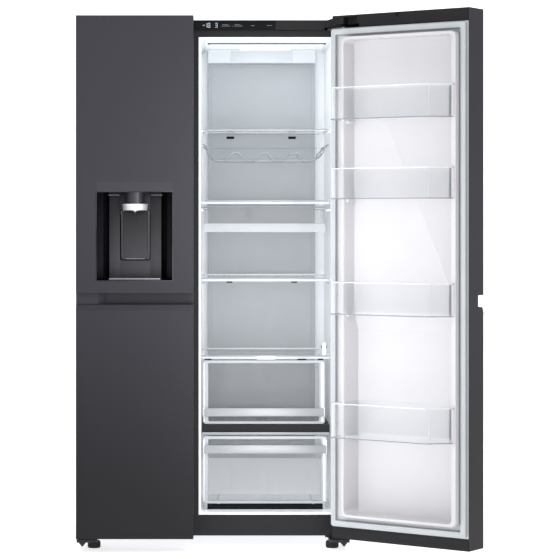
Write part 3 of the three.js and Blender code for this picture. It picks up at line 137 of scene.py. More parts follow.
class Shader:
    """One material and the nodes that feed its Principled shader."""

    def __init__(self, name: str) -> None:
        """Makes an empty material with a Principled shader."""
        self.material = bpy.data.materials.new(name)
        self.material.use_nodes = True
        self.tree = self.material.node_tree
        self.tree.nodes.clear()
        self.surface = self.node("ShaderNodeBsdfPrincipled")
        self.node("ShaderNodeOutputMaterial", sockets={"Surface": self.surface.outputs[0]})
        self.coordinates = self.node("ShaderNodeTexCoord").outputs["Object"]

    def node(self, kind: str, settings: dict | None = None, sockets: dict | None = None) -> bpy.types.Node:
        """Adds one node.

        Args:
            kind: The node's type.
            settings: Its settings, set first.
            sockets: Values or links for its sockets, by name or number.

        Returns:
            The new node.
        """
        made = self.tree.nodes.new(kind)
        for key, setting in (settings or {}).items():
            setattr(made, key, setting)
        for key, value in (sockets or {}).items():
            self.plug(made.inputs[key], value)
        return made

    def plug(self, socket: bpy.types.NodeSocket, value: object) -> None:
        """Sets a socket to a plain value, or links a Value or another socket to it."""
        if isinstance(value, Value):
            self.tree.links.new(value.socket, socket)
        elif isinstance(value, bpy.types.NodeSocket):
            self.tree.links.new(value, socket)
        elif socket.type == "RGBA" and len(value) == 3:
            socket.default_value = (*value, 1)
        else:
            socket.default_value = value

    def feed(self, **values: object) -> None:
        """Sets or links the Principled shader's own sockets, with _ for a space in a name."""
        for name, value in values.items():
            self.plug(self.surface.inputs[name.replace("_", " ")], value)

    def noise(self, size: float, detail: float = 2, stretch: Point = (1, 1, 1)) -> Value:
        """Soft noise over the object.

        Args:
            size: Size of one patch.
            detail: How many finer layers it has.
            stretch: How much longer a patch is along each axis.

        Returns:
            The noise, about 0.5 on average.
        """
        scale = tuple(1 / (size * s) for s in stretch)
        place = self.node("ShaderNodeMapping", sockets={"Vector": self.coordinates, "Scale": scale})
        sockets = {"Vector": place.outputs[0], "Scale": 1, "Detail": detail}
        return Value(self, self.node("ShaderNodeTexNoise", sockets=sockets).outputs[0])

    def cells(self, size: float) -> Value:
        """Distance to the middle of the nearest cell, for foam and pebbled grain."""
        made = self.node("ShaderNodeTexVoronoi", sockets={"Vector": self.coordinates, "Scale": 1 / size})
        return Value(self, made.outputs[0])

    def height(self) -> Value:
        """Height above the floor at rest."""
        split = self.node("ShaderNodeSeparateXYZ", sockets={0: self.coordinates})
        return Value(self, split.outputs["Z"])

    def edge_on(self, blend: float) -> Value:
        """How far a surface is turned away, from 0 face on to 1 edge on."""
        made = self.node("ShaderNodeLayerWeight", sockets={"Blend": blend})
        return Value(self, made.outputs["Facing"])

    def mix(self, share: Value | float, first: object, second: object) -> bpy.types.NodeSocket:
        """A colour between two: first at share 0, second at share 1."""
        made = self.node("ShaderNodeMix", {"data_type": "RGBA"}, {0: share, 6: first, 7: second})
        return made.outputs[2]

    def bump(self, height: Value, depth: float) -> None:
        """Raises the surface by a height from 0 to 1 over a depth."""
        made = self.node("ShaderNodeBump", sockets={"Strength": 1.0, "Distance": depth, "Height": height})
        self.feed(Normal=made.outputs[0])


def shade(colour: Colour, factor: float) -> Colour:
    """A colour made lighter or darker by a factor."""
    return tuple(min(channel * factor, 1) for channel in colour)


@dataclass(frozen=True)
class Finish:
    """Look of a moulded or painted surface: colour, gloss, slow colour change and fine grain."""

    name: str
    colour: Colour
    roughness: float = 0.4
    metallic: float = 0.0
    mottle: float = 0.05
    mottle_size: float = 0.12
    gloss_change: float = 0.08
    grain: float = 0.00002
    grain_size: float = 0.0012
    stretch: Point = (1, 1, 1)
    specular: float = 0.5
    coat: float = 0.0
    coat_roughness: float = 0.08

    def dress(self, *pieces: bpy.types.Object) -> None:
        """Puts this finish on pieces, on every material slot they have."""
        material = bpy.data.materials.get(self.name) or self.make()
        for piece in pieces:
            for slot in piece.material_slots:
                slot.material = material
            if not piece.material_slots:
                piece.data.materials.append(material)

    def make(self) -> bpy.types.Material:
        """Makes the material."""
        shader = Shader(self.name)
        self.paint(shader)
        return shader.material

    def tone(self, shader: Shader, patches: Value) -> bpy.types.NodeSocket:
        """The colour over the surface, a little lighter and darker in patches."""
        dark, light = (shade(self.colour, 1 + way * self.mottle) for way in (-1, 1))
        return shader.mix(patches.rise(0.3, 0.7), dark, light)

    def paint(self, shader: Shader) -> None:
        """Wires colour, gloss and grain into the shader."""
        patches = shader.noise(self.mottle_size, 3)
        fine = shader.noise(self.grain_size, 2, self.stretch)
        shader.feed(
            Base_Color=self.tone(shader, patches),
            Roughness=self.roughness + (patches - 0.5) * self.gloss_change + (fine - 0.5) * self.gloss_change,
            Metallic=self.metallic,
            Specular_IOR_Level=self.specular,
            Coat_Weight=self.coat,
            Coat_Roughness=self.coat_roughness,
        )
        shader.bump(fine, self.grain)


@dataclass(frozen=True)
class PaintedHeightLight(Finish):
    """Paint with painted light and shade that change with height: between two heights its colour is scaled
    towards a factor, lighter towards the top where the factor is above 1 and darker where it is below 1,
    standing in for light falling from above.
    """

    # painted light: the colour's factor at the top; below 1 it is painted shade
    top_light_gain: float = 1.25
    low: float = 0.05
    high: float = 1.78

    def tone(self, shader: Shader, patches: Value) -> bpy.types.NodeSocket:
        """The patched colour, with the painted light and shade that change with height."""
        even = super().tone(shader, patches)
        return shader.mix(shader.height().rise(self.low, self.high), even, shade(self.colour, self.top_light_gain))


@dataclass(frozen=True)
class ClearMoulding(Finish):
    """Clear or frosted plastic and glass: see-through face on, cloudier edge on."""

    haze: float = 0.1
    edge_haze: float = 0.3
    turn_blend: float = 0.35
    flow_size: float = 0.03
    flow_haze: float = 0.04

    def paint(self, shader: Shader) -> None:
        """Wires the haze into the shader's alpha, with faint flow marks."""
        super().paint(shader)
        turned = shader.edge_on(self.turn_blend) ** 2
        flow = shader.noise(self.flow_size, 2, (1, 1, 3))
        shader.feed(Alpha=self.haze + turned * self.edge_haze + (flow - 0.5) * self.flow_haze)


@dataclass(frozen=True)
class Lamp(Finish):
    """A surface that gives off light: lit lenses, signs, lamps and the studio paper, and also the painted
    glow on the fridge liner, which is no lamp.
    """

    glow: float = 2.0
    patch_size: float = 0.02
    patch_shade: float = 0.92

    def paint(self, shader: Shader) -> None:
        """Adds the light to the surface; on the fridge liner this glow is painted light."""
        super().paint(shader)
        dim = shade(self.colour, self.patch_shade)
        light = shader.mix(shader.noise(self.patch_size, 1), dim, self.colour)
        shader.feed(Emission_Color=light, Emission_Strength=self.glow)


@dataclass(frozen=True)
class PorousFoam(Finish):
    """Rigid foam with open cells at its skin."""

    cell_size: float = 0.004
    cell_depth: float = 0.0006

    def paint(self, shader: Shader) -> None:
        """Adds the cells to the surface."""
        super().paint(shader)
        shader.bump(shader.cells(self.cell_size), self.cell_depth)


# painted light: the door paint grows several times lighter with height, standing in for light falling on the
# doors from above
DOOR_PAINT = PaintedHeightLight("door_paint", srgb(25, 24, 28), 0.5, grain=0.000012, grain_size=0.0007, mottle=0.02,
                         gloss_change=0.05, top_light_gain=3.71, low=0.1, high=1.2, specular=0.22)
# painted shade: the dispenser's back plate and paddle grow darker towards the top of the well, where the
# well's roof shades them
PLATE_PAINT = PaintedHeightLight("plate_paint", srgb(56, 55, 60), 0.5, grain=0.00001, mottle=0.03, low=0.93,
                          high=1.16, top_light_gain=0.25, specular=0.3)
# painted light: the control panel grows lighter with height, like the door paint round it
PANEL_GLASS = PaintedHeightLight("panel_glass", srgb(35, 34, 38), 0.42, grain=0.000004, top_light_gain=2.1, mottle=0.02,
                          low=0.1, high=1.2, specular=0.3)
CASE_PAINT = Finish("case_paint", srgb(40, 40, 43), 0.6, grain=0.00003, grain_size=0.0012, specular=0.3)
FRAME_PAINT = Finish("frame_paint", srgb(38, 38, 41), 0.6, grain=0.00001, specular=0.15)
ZINC_SHEET = Finish("zinc_sheet", srgb(150, 153, 157), 0.38, 0.85, mottle=0.12, mottle_size=0.03,
                    gloss_change=0.2)
HINGE_STEEL = Finish("hinge_steel", srgb(206, 207, 210), 0.28, 0.95, mottle=0.06, mottle_size=0.01,
                     gloss_change=0.15)
BLACK_IRON = Finish("black_iron", srgb(28, 28, 30), 0.45, 0.4, grain=0.00004)
BLACK_MOULDING = Finish("black_moulding", srgb(26, 26, 28), 0.55, specular=0.25, grain_size=0.0006)
CAP_MOULDING = replace(BLACK_MOULDING, name="cap_moulding")
# dark plastic for seams, clips, stops and the hook, and also painted shade: the dark air slots and the strip
# under the lower crisper
DARK_TRIM_AND_SHADE = Finish("dark_trim_and_shade", srgb(20, 20, 23), 0.75, specular=0.15)
# painted shade: near-black for the ring round the dispenser paddle, standing in for the shadow in the gap
# round it
SHADOW_GAP = Finish("shadow_gap", srgb(7, 7, 9), 0.9, specular=0.02)
POLISHED_BLACK = Finish("polished_black", srgb(13, 14, 16), 0.2, grain=0.000002, gloss_change=0.04,
                        specular=0.15)
WELL_GLOSS = Finish("well_gloss", srgb(14, 13, 18), 0.16, grain=0.000002, gloss_change=0.05, coat=0.3)
LINER_WHITE = Finish("liner_white", srgb(246, 249, 252), 0.34, grain_size=0.002, mottle=0.01)
DOOR_WHITE = Finish("door_liner_white", srgb(198, 197, 200), 0.34, grain_size=0.002, mottle=0.01)
HOUSING_WHITE = Finish("housing_white", srgb(212, 216, 220), 0.36, mottle=0.01)
TRIM_WHITE = Finish("trim_white", srgb(247, 249, 252), 0.28, mottle=0.01)
DUCT_FILM = Finish("duct_film", srgb(170, 174, 178), 0.42, 0.1, mottle=0.03, grain=0.000015,
                   grain_size=0.0008, stretch=(1, 1, 60))
SEAL_VINYL = Finish("seal_vinyl", srgb(182, 187, 190), 0.6, grain=0.00003, mottle=0.03)
# painted shade: a darker copy of the seal vinyl for the folds, standing in for the shade in their grooves
SEAL_FOLD_SHADE = Finish("seal_fold", srgb(150, 156, 160), 0.65, grain=0.00003)
RUBBER = Finish("moulded_rubber", srgb(26, 26, 28), 0.75, grain=0.00006, grain_size=0.002)
CRISPER_BAND = Finish("crisper_band", srgb(163, 165, 169), 0.36, 0.3, mottle=0.04, grain=0.00001,
                      stretch=(40, 1, 1))
CRISPER_FRAME = Finish("crisper_frame", srgb(180, 184, 189), 0.35, mottle=0.02)
SHELF_EDGE = Finish("shelf_edge_grey", srgb(150, 156, 162), 0.3, mottle=0.04)
CHROME = Finish("bright_chrome", srgb(245, 245, 247), 0.22, 0.55, mottle=0.02, gloss_change=0.05)
TRAY_LIP = Finish("tray_lip", srgb(140, 140, 145), 0.4, 0.5, mottle=0.04, stretch=(30, 1, 1))
CHUTE_GREY = Finish("chute_grey", srgb(62, 62, 67), 0.3, 0.5)
ENAMEL = Finish("compressor_enamel", srgb(24, 25, 28), 0.3, 0.2, grain=0.00004, grain_size=0.003)
FINS = Finish("coil_fins", srgb(168, 172, 176), 0.4, 0.9, mottle=0.1, mottle_size=0.01)
COPPER = Finish("copper_tube", srgb(184, 115, 80), 0.35, 0.95, mottle=0.15, mottle_size=0.02)
FOAM = PorousFoam("insulation_foam", srgb(226, 208, 150), 0.9, mottle=0.12, mottle_size=0.05)
CLEAR = ClearMoulding("clear_moulding", srgb(236, 240, 245), 0.08, mottle=0.01, haze=0.05)
FROSTED = ClearMoulding("frosted_moulding", srgb(214, 219, 224), 0.35, mottle=0.02, haze=0.55)
GLASS = ClearMoulding("shelf_glass", srgb(222, 234, 234), 0.04, mottle=0.01)
# partly painted highlight: on the bins' rims and corner strips this pale haze stands in for highlights
RIM_CLEAR = ClearMoulding("rim_clear", srgb(228, 233, 238), 0.12, mottle=0.01, haze=0.6)
# painted shade: grey line along a clear bin's foot, standing in for the darker look of the clear plastic seen
# edge on there
BASE_PAINTED_SHADE = ClearMoulding("bin_base_painted_shade", srgb(140, 144, 152), 0.2, mottle=0.02, haze=0.75, edge_haze=0.2)
LAMP_LENS = Lamp("lamp_lens", srgb(250, 252, 255), 0.3, glow=0.45)
# painted light: the fridge liner glows a little, though it is no lamp, to brighten the compartment's walls
PAINTED_GLOW_LINER = Lamp("fridge_liner_painted_glow", LINER_WHITE.colour, 0.34, grain_size=0.002, mottle=0.01, glow=0.12)
DIGIT_LIGHT = Lamp("digit_light", srgb(176, 186, 196), glow=0.7)
MARK_LIGHT = Lamp("mark_light", srgb(120, 126, 132), glow=0.3)
WELL_LAMP = Lamp("well_lamp", srgb(96, 97, 102), 0.3, glow=0.12)
STUDIO_PAPER = Lamp("studio_paper", srgb(250, 250, 251), 0.9, mottle=0.004, mottle_size=2, grain=0.0,
                    glow=0.75)


# ------------------------------------------------------------------------------------- building


class Axis(Enum):
    """The axis that an outline is drawn out along, with the order its outline's two numbers take."""

    X = (1, 2, 0)
    Y = (0, 2, 1)
    Z = (0, 1, 2)

    def point(self, u: float, v: float, along: float) -> Vector:
        """The point of an outline's (u, v) at a place along the axis."""
        made = [0.0, 0.0, 0.0]
        for index, number in zip(self.value, (u, v, along)):
            made[index] = number
        return Vector(made)


@dataclass(frozen=True)
class Box:
    """Lowest and highest corner of a node in a placement's own frame."""

    low: Vector
    high: Vector

    @property
    def middle(self) -> Vector:
        """The box's centre."""
        return (self.low + self.high) / 2

    @property
    def x(self) -> Flat:
        """Its range across."""
        return (self.low.x, self.high.x)

    @property
    def z(self) -> Flat:
        """Its range in height."""
        return (self.low.z, self.high.z)


class Placement:
    """Where a sub-assembly's frame of drawing stands, and the body it rides on."""

    def __init__(self, body: str, hinge: str | None = None) -> None:
        """Finds the frame.

        Args:
            body: The body that its pieces ride on.
            hinge: The joint that stands open at rest, if one does.
        """
        case_low, case_high = (Vector(corner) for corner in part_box("outer_case"))
        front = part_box("freezer_door_skin")[0][1]
        self.body = body
        self.matrix = Matrix.Translation(((case_low.x + case_high.x) / 2, front, 0))
        if hinge:
            joint = next(j for j in frame["joints"] if j["name"] == hinge)
            pivot = Matrix.Translation(joint["pos_m"])
            opened = Matrix.Rotation(-math.radians(joint["range_deg"][0]), 4, "Z")
            self.matrix = pivot @ opened @ pivot.inverted() @ self.matrix

    def box(self, node: str) -> Box:
        """The box of a node as this frame sees it."""
        back = self.matrix.inverted()
        points = [back @ v.co for v in frame["nodes"][node].data.vertices]
        low = Vector(min(p[i] for p in points) for i in range(3))
        high = Vector(max(p[i] for p in points) for i in range(3))
        return Box(low, high)


def about(middle: float, half: float) -> Flat:
    """The range that reaches a half width to each side of a middle."""
    return (middle - half, middle + half)


def within(span: Flat, start: float, end: float) -> Flat:
    """A range drawn in by a margin at its start and one at its end."""
    return (span[0] + start, span[1] - end)


def rounded(u: Flat, v: Flat, radius: float, steps: int = 5) -> list[Flat]:
    """Outline of a rectangle with round corners.

    Args:
        u: Its range along the first axis.
        v: Its range along the second axis.
        radius: The corners' radius.
        steps: Straight steps in each corner.

    Returns:
        The outline's points, in order.
    """
    corners = ((u[1], v[1], 0), (u[0], v[1], 1), (u[0], v[0], 2), (u[1], v[0], 3))
    points = []
    for cu, cv, quarter in corners:
        middle_u = cu - math.copysign(radius, cu - (u[0] + u[1]) / 2)
        middle_v = cv - math.copysign(radius, cv - (v[0] + v[1]) / 2)
        for step in range(steps + 1):
            angle = (quarter + step / steps) * math.pi / 2
            points.append((middle_u + radius * math.cos(angle), middle_v + radius * math.sin(angle)))
    return points


def disc(radius: float, sides: int = 10) -> list[Flat]:
    """A round section."""
    turns = (2 * math.pi * i / sides for i in range(sides))
    return [(radius * math.cos(t), radius * math.sin(t)) for t in turns]


class Maker:
    """Builds one named mesh piece in a placement's frame."""

    def __init__(self, name: str, home: Placement) -> None:
        """Starts an empty piece."""
        self.name = name
        self.home = home
        self.mesh = bmesh.new()

    def _soften(self, faces: list[bmesh.types.BMFace], bevel: float, segments: int) -> None:
        """Rounds the sharp edges of new faces."""
        if not bevel:
            return
        edges = {edge for face in faces for edge in face.edges}
        sharp = [edge for edge in edges if edge.is_manifold and edge.calc_face_angle(0) > SMOOTH_ANGLE]
        bmesh.ops.bevel(self.mesh, geom=sharp, offset=bevel, segments=segments, profile=0.5,
                        affect="EDGES", clamp_overlap=True)

    def prism(self, outline: list[Flat], axis: Axis, span: Flat, bevel: float = FINE_BEVEL,
              segments: int = 2) -> "Maker":
        """Adds an outline drawn out along an axis.

        Args:
            outline: Its points, in order.
            axis: The axis it is drawn out along.
            span: Where it starts and ends on that axis.
            bevel: How far its edges are rounded.
            segments: Steps in each rounded edge.

        Returns:
            This maker.
        """
        rings = [[self.mesh.verts.new(axis.point(u, v, along)) for u, v in outline] for along in span]
        count = len(outline)
        faces = [self.mesh.faces.new(ring) for ring in rings]
        for i in range(count):
            j = (i + 1) % count
            faces.append(self.mesh.faces.new((rings[0][i], rings[0][j], rings[1][j], rings[1][i])))
        bmesh.ops.recalc_face_normals(self.mesh, faces=faces)
        self._soften(faces, bevel, segments)
        return self

    def bar(self, x: Flat, y: Flat, z: Flat, bevel: float = FINE_BEVEL, segments: int = 2) -> "Maker":
        """Adds a block with rounded edges between its ranges."""
        outline = [(x[0], y[0]), (x[1], y[0]), (x[1], y[1]), (x[0], y[1])]
        return self.prism(outline, Axis.Z, z, bevel, segments)

    def sweep(self, path: list[Point], section: list[Flat], up: Point = (0, 0, 1),
              closed: bool = False) -> "Maker":
        """Adds a section carried along a path, mitred at its corners.

        Args:
            path: The points it passes through.
            section: Its outline, as offsets to the side and along up.
            up: A direction that is never along the path.
            closed: Whether the path joins up.

        Returns:
            This maker.
        """
        points = [Vector(p) for p in path]
        count = len(points)
        rings = []
        for i, here in enumerate(points):
            before = points[i - 1] if i or closed else None
            after = points[(i + 1) % count] if i + 1 < count or closed else None
            legs = (here - before if before else None, after - here if after else None)
            ways = [leg.normalized() for leg in legs if leg]
            way = sum(ways, Vector()).normalized()
            stretch = 1 / max(way.dot(ways[0]), 0.5)
            side = way.cross(Vector(up)).normalized()
            rise = side.cross(way).normalized()
            rings.append([self.mesh.verts.new(here + side * s * stretch + rise * r) for s, r in section])
        faces = []
        for i in range(count if closed else count - 1):
            ring, following = rings[i], rings[(i + 1) % count]
            for k in range(len(section)):
                m = (k + 1) % len(section)
                faces.append(self.mesh.faces.new((ring[k], ring[m], following[m], following[k])))
        if not closed:
            faces += [self.mesh.faces.new(rings[0]), self.mesh.faces.new(rings[-1])]
        bmesh.ops.recalc_face_normals(self.mesh, faces=faces)
        return self

    def lathe(self, profile: list[Flat], centre: Point, axis: Axis = Axis.Z, sides: int = 32) -> "Maker":
        """Adds a turned piece.

        Args:
            profile: Its (radius, place along the axis) points, from one end of the axis to the other.
            centre: Where the axis starts.
            axis: The axis it turns about.
            sides: Straight sides round it.

        Returns:
            This maker.
        """
        rings = []
        for radius, along in profile:
            if radius == 0:
                rings.append([self.mesh.verts.new(Vector(centre) + axis.point(0, 0, along))])
                continue
            rings.append([
                self.mesh.verts.new(Vector(centre) + axis.point(u, v, along)) for u, v in disc(radius, sides)
            ])
        faces = []
        for ring, following in zip(rings, rings[1:]):
            for k in range(sides):
                m = (k + 1) % sides
                corners = [ring[k % len(ring)], ring[m % len(ring)], following[m % len(following)],
                           following[k % len(following)]]
                faces.append(self.mesh.faces.new(list(dict.fromkeys(corners))))
        bmesh.ops.recalc_face_normals(self.mesh, faces=faces)
        return self

    def make(self, finish: Finish, slot: str | None = None) -> bpy.types.Object:
        """Puts the piece in place on its body.

        Args:
            finish: Its finish.
            slot: The record's material slot that it belongs to, if one fits; not used.

        Returns:
            The new object.
        """
        data = bpy.data.meshes.new(self.name)
        self.mesh.transform(self.home.matrix)
        self.mesh.to_mesh(data)
        self.mesh.free()
        data.shade_smooth()
        data.set_sharp_from_angle(angle=SMOOTH_ANGLE)
        piece = bpy.data.objects.new(self.name, data)
        bpy.context.scene.collection.objects.link(piece)
        finish.dress(piece)
        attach(piece, self.home.body)
        log.info("%s: %d faces on %s", self.name, len(data.polygons), self.home.body)
        return piece


def refine(finish: Finish, *nodes: str, bevel: float = 0.0006) -> None:
    """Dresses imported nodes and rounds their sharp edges.

    Args:
        finish: Their finish.
        nodes: The nodes' names.
        bevel: How far their edges are rounded.
    """
    for name in nodes:
        node = frame["nodes"][name]
        finish.dress(node)
        weld = node.modifiers.new("weld", "WELD")
        weld.merge_threshold = WELD_GAP
        if bevel:
            round_over = node.modifiers.new("round_over", "BEVEL")
            round_over.width = bevel
            round_over.segments = 2
            round_over.limit_method = "ANGLE"
            round_over.angle_limit = BEVEL_ANGLE
            round_over.use_clamp_overlap = True
        log.info("%s dressed in %s", name, finish.name)


# ------------------------------------------------------------------------------------- cabinet


@dataclass
class Cabinet:
    """Steel case, front frame, back, base, hinges and the cover with the display."""

    home: Placement
    digit_height: float = 0.0155
    digit_width: float = 0.0085
    stroke: float = 0.0014
    screw_radius: float = 0.0042

    def build(self) -> None:
        """Dresses the shell and adds its fine pieces."""
        refine(CASE_PAINT, "outer_case", bevel=0.0005)
        refine(FRAME_PAINT, "front_frame", bevel=0.0003)
        refine(ZINC_SHEET, "back_panel", "base_plate", "rear_cover", bevel=0.0003)
        refine(HINGE_STEEL, "upper_hinge_left", "upper_hinge_right", bevel=0.0006)
        refine(BLACK_IRON, "lower_hinge_left", "lower_hinge_right", bevel=0.0008)
        refine(BLACK_MOULDING, "top_cover", bevel=0.0012)
        refine(POLISHED_BLACK, "display_panel", bevel=0.0003)
        refine(FOAM, "insulation", bevel=0.001)
        self.add_display()
        self.add_cover_seams()
        self.add_back_screws()

    def digit(self, maker: Maker, lit: str, left: float, base: float, face: float) -> None:
        """Adds one numeral of straight strokes.

        Args:
            maker: The piece it goes into.
            lit: Which of the strokes a to g are lit.
            left: Its left edge.
            base: Its lower edge.
            face: The display's face.
        """
        width, height, stroke = self.digit_width, self.digit_height, self.stroke
        half = height / 2
        flat = {"a": height - stroke, "g": half - stroke / 2, "d": 0}
        tall = {"f": (0, half), "b": (width - stroke, half), "e": (0, 0), "c": (width - stroke, 0)}
        y = (face - 0.0004, face + 0.0004)
        for name in lit:
            if name in flat:
                z = base + flat[name]
                maker.bar((left + stroke * 0.6, left + width - stroke * 0.6), y, (z, z + stroke), 0.0002, 1)
            else:
                x, z = left + tall[name][0], base + tall[name][1]
                maker.bar((x, x + stroke), y, (z + stroke * 0.6, z + half - stroke * 0.6), 0.0002, 1)

    def add_display(self) -> None:
        """Temperature numerals and the small key marks on the display."""
        panel = self.home.box("display_panel")
        face, base = panel.low.y, panel.middle.z - self.digit_height / 2
        numerals = Maker("display_numerals", self.home)
        left = panel.low.x + 0.028
        for lit, step in (("g", 0), ("bc", 0.007), ("abcdefg", 0.0175), ("abcdg", 0.042)):
            self.digit(numerals, lit, left + step, base, face)
        numerals.make(DIGIT_LIGHT, "gloss_black")
        marks = Maker("display_key_marks", self.home)
        rows = ((0.092, 0.03, 0.0), (0.094, 0.022, 0.0045), (0.134, 0.03, 0.0), (0.136, 0.02, 0.0045),
                (0.127, 0.003, 0.0), (0.192, 0.012, 0.0015), (0.245, 0.017, 0.0015))
        for offset, length, rise in rows:
            x, z = panel.low.x + offset, panel.middle.z - 0.003 + rise
            marks.bar((x, x + length), (face - 0.0003, face + 0.0004), (z, z + 0.0011), 0.0002, 1)
        marks.make(MARK_LIGHT, "gloss_black")
        cover = self.home.box("top_cover")
        latch = Maker("cover_key", self.home)
        middle = panel.high.x + 0.02
        outline = rounded(about(middle, 0.008), about(panel.middle.z, 0.009), 0.003)
        latch.prism(outline, Axis.Y, (cover.low.y - 0.0005, cover.low.y + 0.001), 0.0003, 1)
        latch.make(CAP_MOULDING, "black_plastic")

    def add_cover_seams(self) -> None:
        """Thin shadow gaps where the hinge covers meet the middle cover, and a screw in each hinge cover."""
        cover = self.home.box("top_cover")
        for side, hand in ((-1, "left"), (1, "right")):
            hinge = self.home.box(f"upper_hinge_{hand}")
            x = hinge.x[0 if side > 0 else 1] - side * 0.008
            seam = Maker(f"hinge_cover_seam_{hand}", self.home)
            seam.bar(about(x, 0.0005), (cover.low.y - 0.0003, cover.high.y + 0.0002),
                     within(cover.z, 0.004, 0.0068), 0.0001, 1)
            seam.make(DARK_TRIM_AND_SHADE, "black_plastic")
            screw = Maker(f"hinge_cover_screw_{hand}", self.home)
            self.screw(screw, (hinge.middle.x, cover.middle.y + 0.02, cover.high.z - 0.0016), Axis.Z)
            screw.make(ZINC_SHEET, "zinc_steel")

    def screw(self, maker: Maker, place: Point, axis: Axis) -> None:
        """Adds a pan head screw with a raised cross.

        Args:
            maker: The piece it goes into.
            place: Where the head's underside is.
            axis: The axis that the head points along.
        """
        radius = self.screw_radius
        profile = [(0, 0), (radius * 0.45, 0.0001), (radius, -0.0004), (radius, -0.0016), (0, -0.0016)]
        maker.lathe([(r, h + 0.0012) for r, h in profile], place, axis, 20)
        for u, v in ((0.55, 0.12), (0.12, 0.55)):
            low = axis.point(-u * radius, -v * radius, 0.0011)
            high = axis.point(u * radius, v * radius, 0.00135)
            spans = [(min(a, b) + c, max(a, b) + c) for a, b, c in zip(low, high, place)]
            maker.bar(*spans, 0.00005, 1)

    def add_back_screws(self) -> None:
        """Screws around the back panel and the machine compartment's cover."""
        panel, cover = self.home.box("back_panel"), self.home.box("rear_cover")
        screws = Maker("back_screws", self.home)
        y = panel.high.y - 0.0015
        inset = 0.014
        rise = (panel.high.z - panel.low.z - 2 * inset) / 6
        for x in within(panel.x, inset, inset):
            for step in range(7):
                self.screw(screws, (x, y, panel.low.z + inset + step * rise), Axis.Y)
        for step in range(1, 6):
            x = cover.low.x + (cover.high.x - cover.low.x) * step / 6
            self.screw(screws, (x, y, cover.high.z - 0.012), Axis.Y)
        screws.make(ZINC_SHEET, "zinc_steel")


@dataclass
class RunningGear:
    """Levelling feet and rear rollers."""

    home: Placement
    nut_radius: float = 0.0105
    nut_span: Flat = (0.0252, 0.0312)
    grip_count: int = 20
    grip_radius: float = 0.0012

    def build(self) -> None:
        """Dresses the feet and rollers and adds their nuts and grips."""
        feet = ("levelling_foot_left", "levelling_foot_right")
        refine(RUBBER, *feet, "rear_roller_left", "rear_roller_right", bevel=0.0006)
        for foot in feet:
            self.add_foot_detail(foot)

    def add_foot_detail(self, foot: str) -> None:
        """Adds the lock nut and the finger grips round one foot."""
        home = Placement(foot)
        box = home.box(foot)
        nut = Maker(f"{foot}_nut", home)
        outline = [(box.middle.x + u, box.middle.y + v) for u, v in disc(self.nut_radius, 6)]
        nut.prism(outline, Axis.Z, self.nut_span, 0.0008)
        nut.make(ZINC_SHEET, "zinc_steel")
        grips = Maker(f"{foot}_grips", home)
        radius = (box.high.x - box.low.x) / 2 - self.grip_radius / 2
        profile = [(0, 0.004), (self.grip_radius, 0.005), (self.grip_radius, 0.017), (0, 0.018)]
        for u, v in disc(radius, self.grip_count):
            grips.lathe(profile, (box.middle.x + u, box.middle.y + v, 0), Axis.Z, 8)
        grips.make(RUBBER, "foot_rubber")


@dataclass
class MachineCompartment:
    """Compressor, condenser with its fan, and the tubes between them."""

    home: Placement
    tube_radius: float = 0.0035

    def build(self) -> None:
        """Dresses the machines and adds their tubes."""
        refine(ENAMEL, "compressor", bevel=0.002)
        refine(FINS, "condenser", "evaporator", bevel=0)
        refine(BLACK_MOULDING, "condenser_fan", "evaporator_fan", bevel=0.0006)
        self.add_tubes()

    def add_tubes(self) -> None:
        """Copper tubes from the compressor to the condenser and up to the cold coil."""
        pod, coil = self.home.box("compressor"), self.home.box("condenser")
        y = pod.middle.y
        tubes = Maker("refrigerant_tubes", self.home)
        left = pod.low.x + 0.03
        hot = [(left, y - 0.03, 0.12), (left - 0.05, y - 0.03, 0.13), (left - 0.179, y - 0.045, 0.09),
               (left - 0.259, y - 0.06, 0.07), (coil.high.x + 0.01, y - 0.07, 0.062)]
        cold = [(left, y + 0.03, 0.14), (left - 0.06, y + 0.035, 0.155), (left - 0.129, y + 0.05, 0.16),
                (left - 0.189, y + 0.05, 0.185), (left - 0.209, y + 0.05, 0.205)]
        for path in (hot, cold):
            tubes.sweep(self.smooth(path), disc(self.tube_radius, 10), up=(0, 1, 0.02))
        tubes.make(COPPER, "fins")

    @staticmethod
    def smooth(path: list[Point], steps: int = 6) -> list[Point]:
        """A smooth curve through a path's points."""
        points = [Vector(p) for p in path]
        points = [points[0] * 2 - points[1], *points, points[-1] * 2 - points[-2]]
        made = []
        for a, b, c, d in zip(points, points[1:], points[2:], points[3:]):
            for step in range(steps):
                t = step / steps
                bend, twist = 2 * a - 5 * b + 4 * c - d, 3 * b - a - 3 * c + d
                made.append(tuple((2 * b + (c - a) * t + bend * t**2 + twist * t**3) / 2))
        return [*made, tuple(points[-2])]


# ------------------------------------------------------------------------------------- compartments


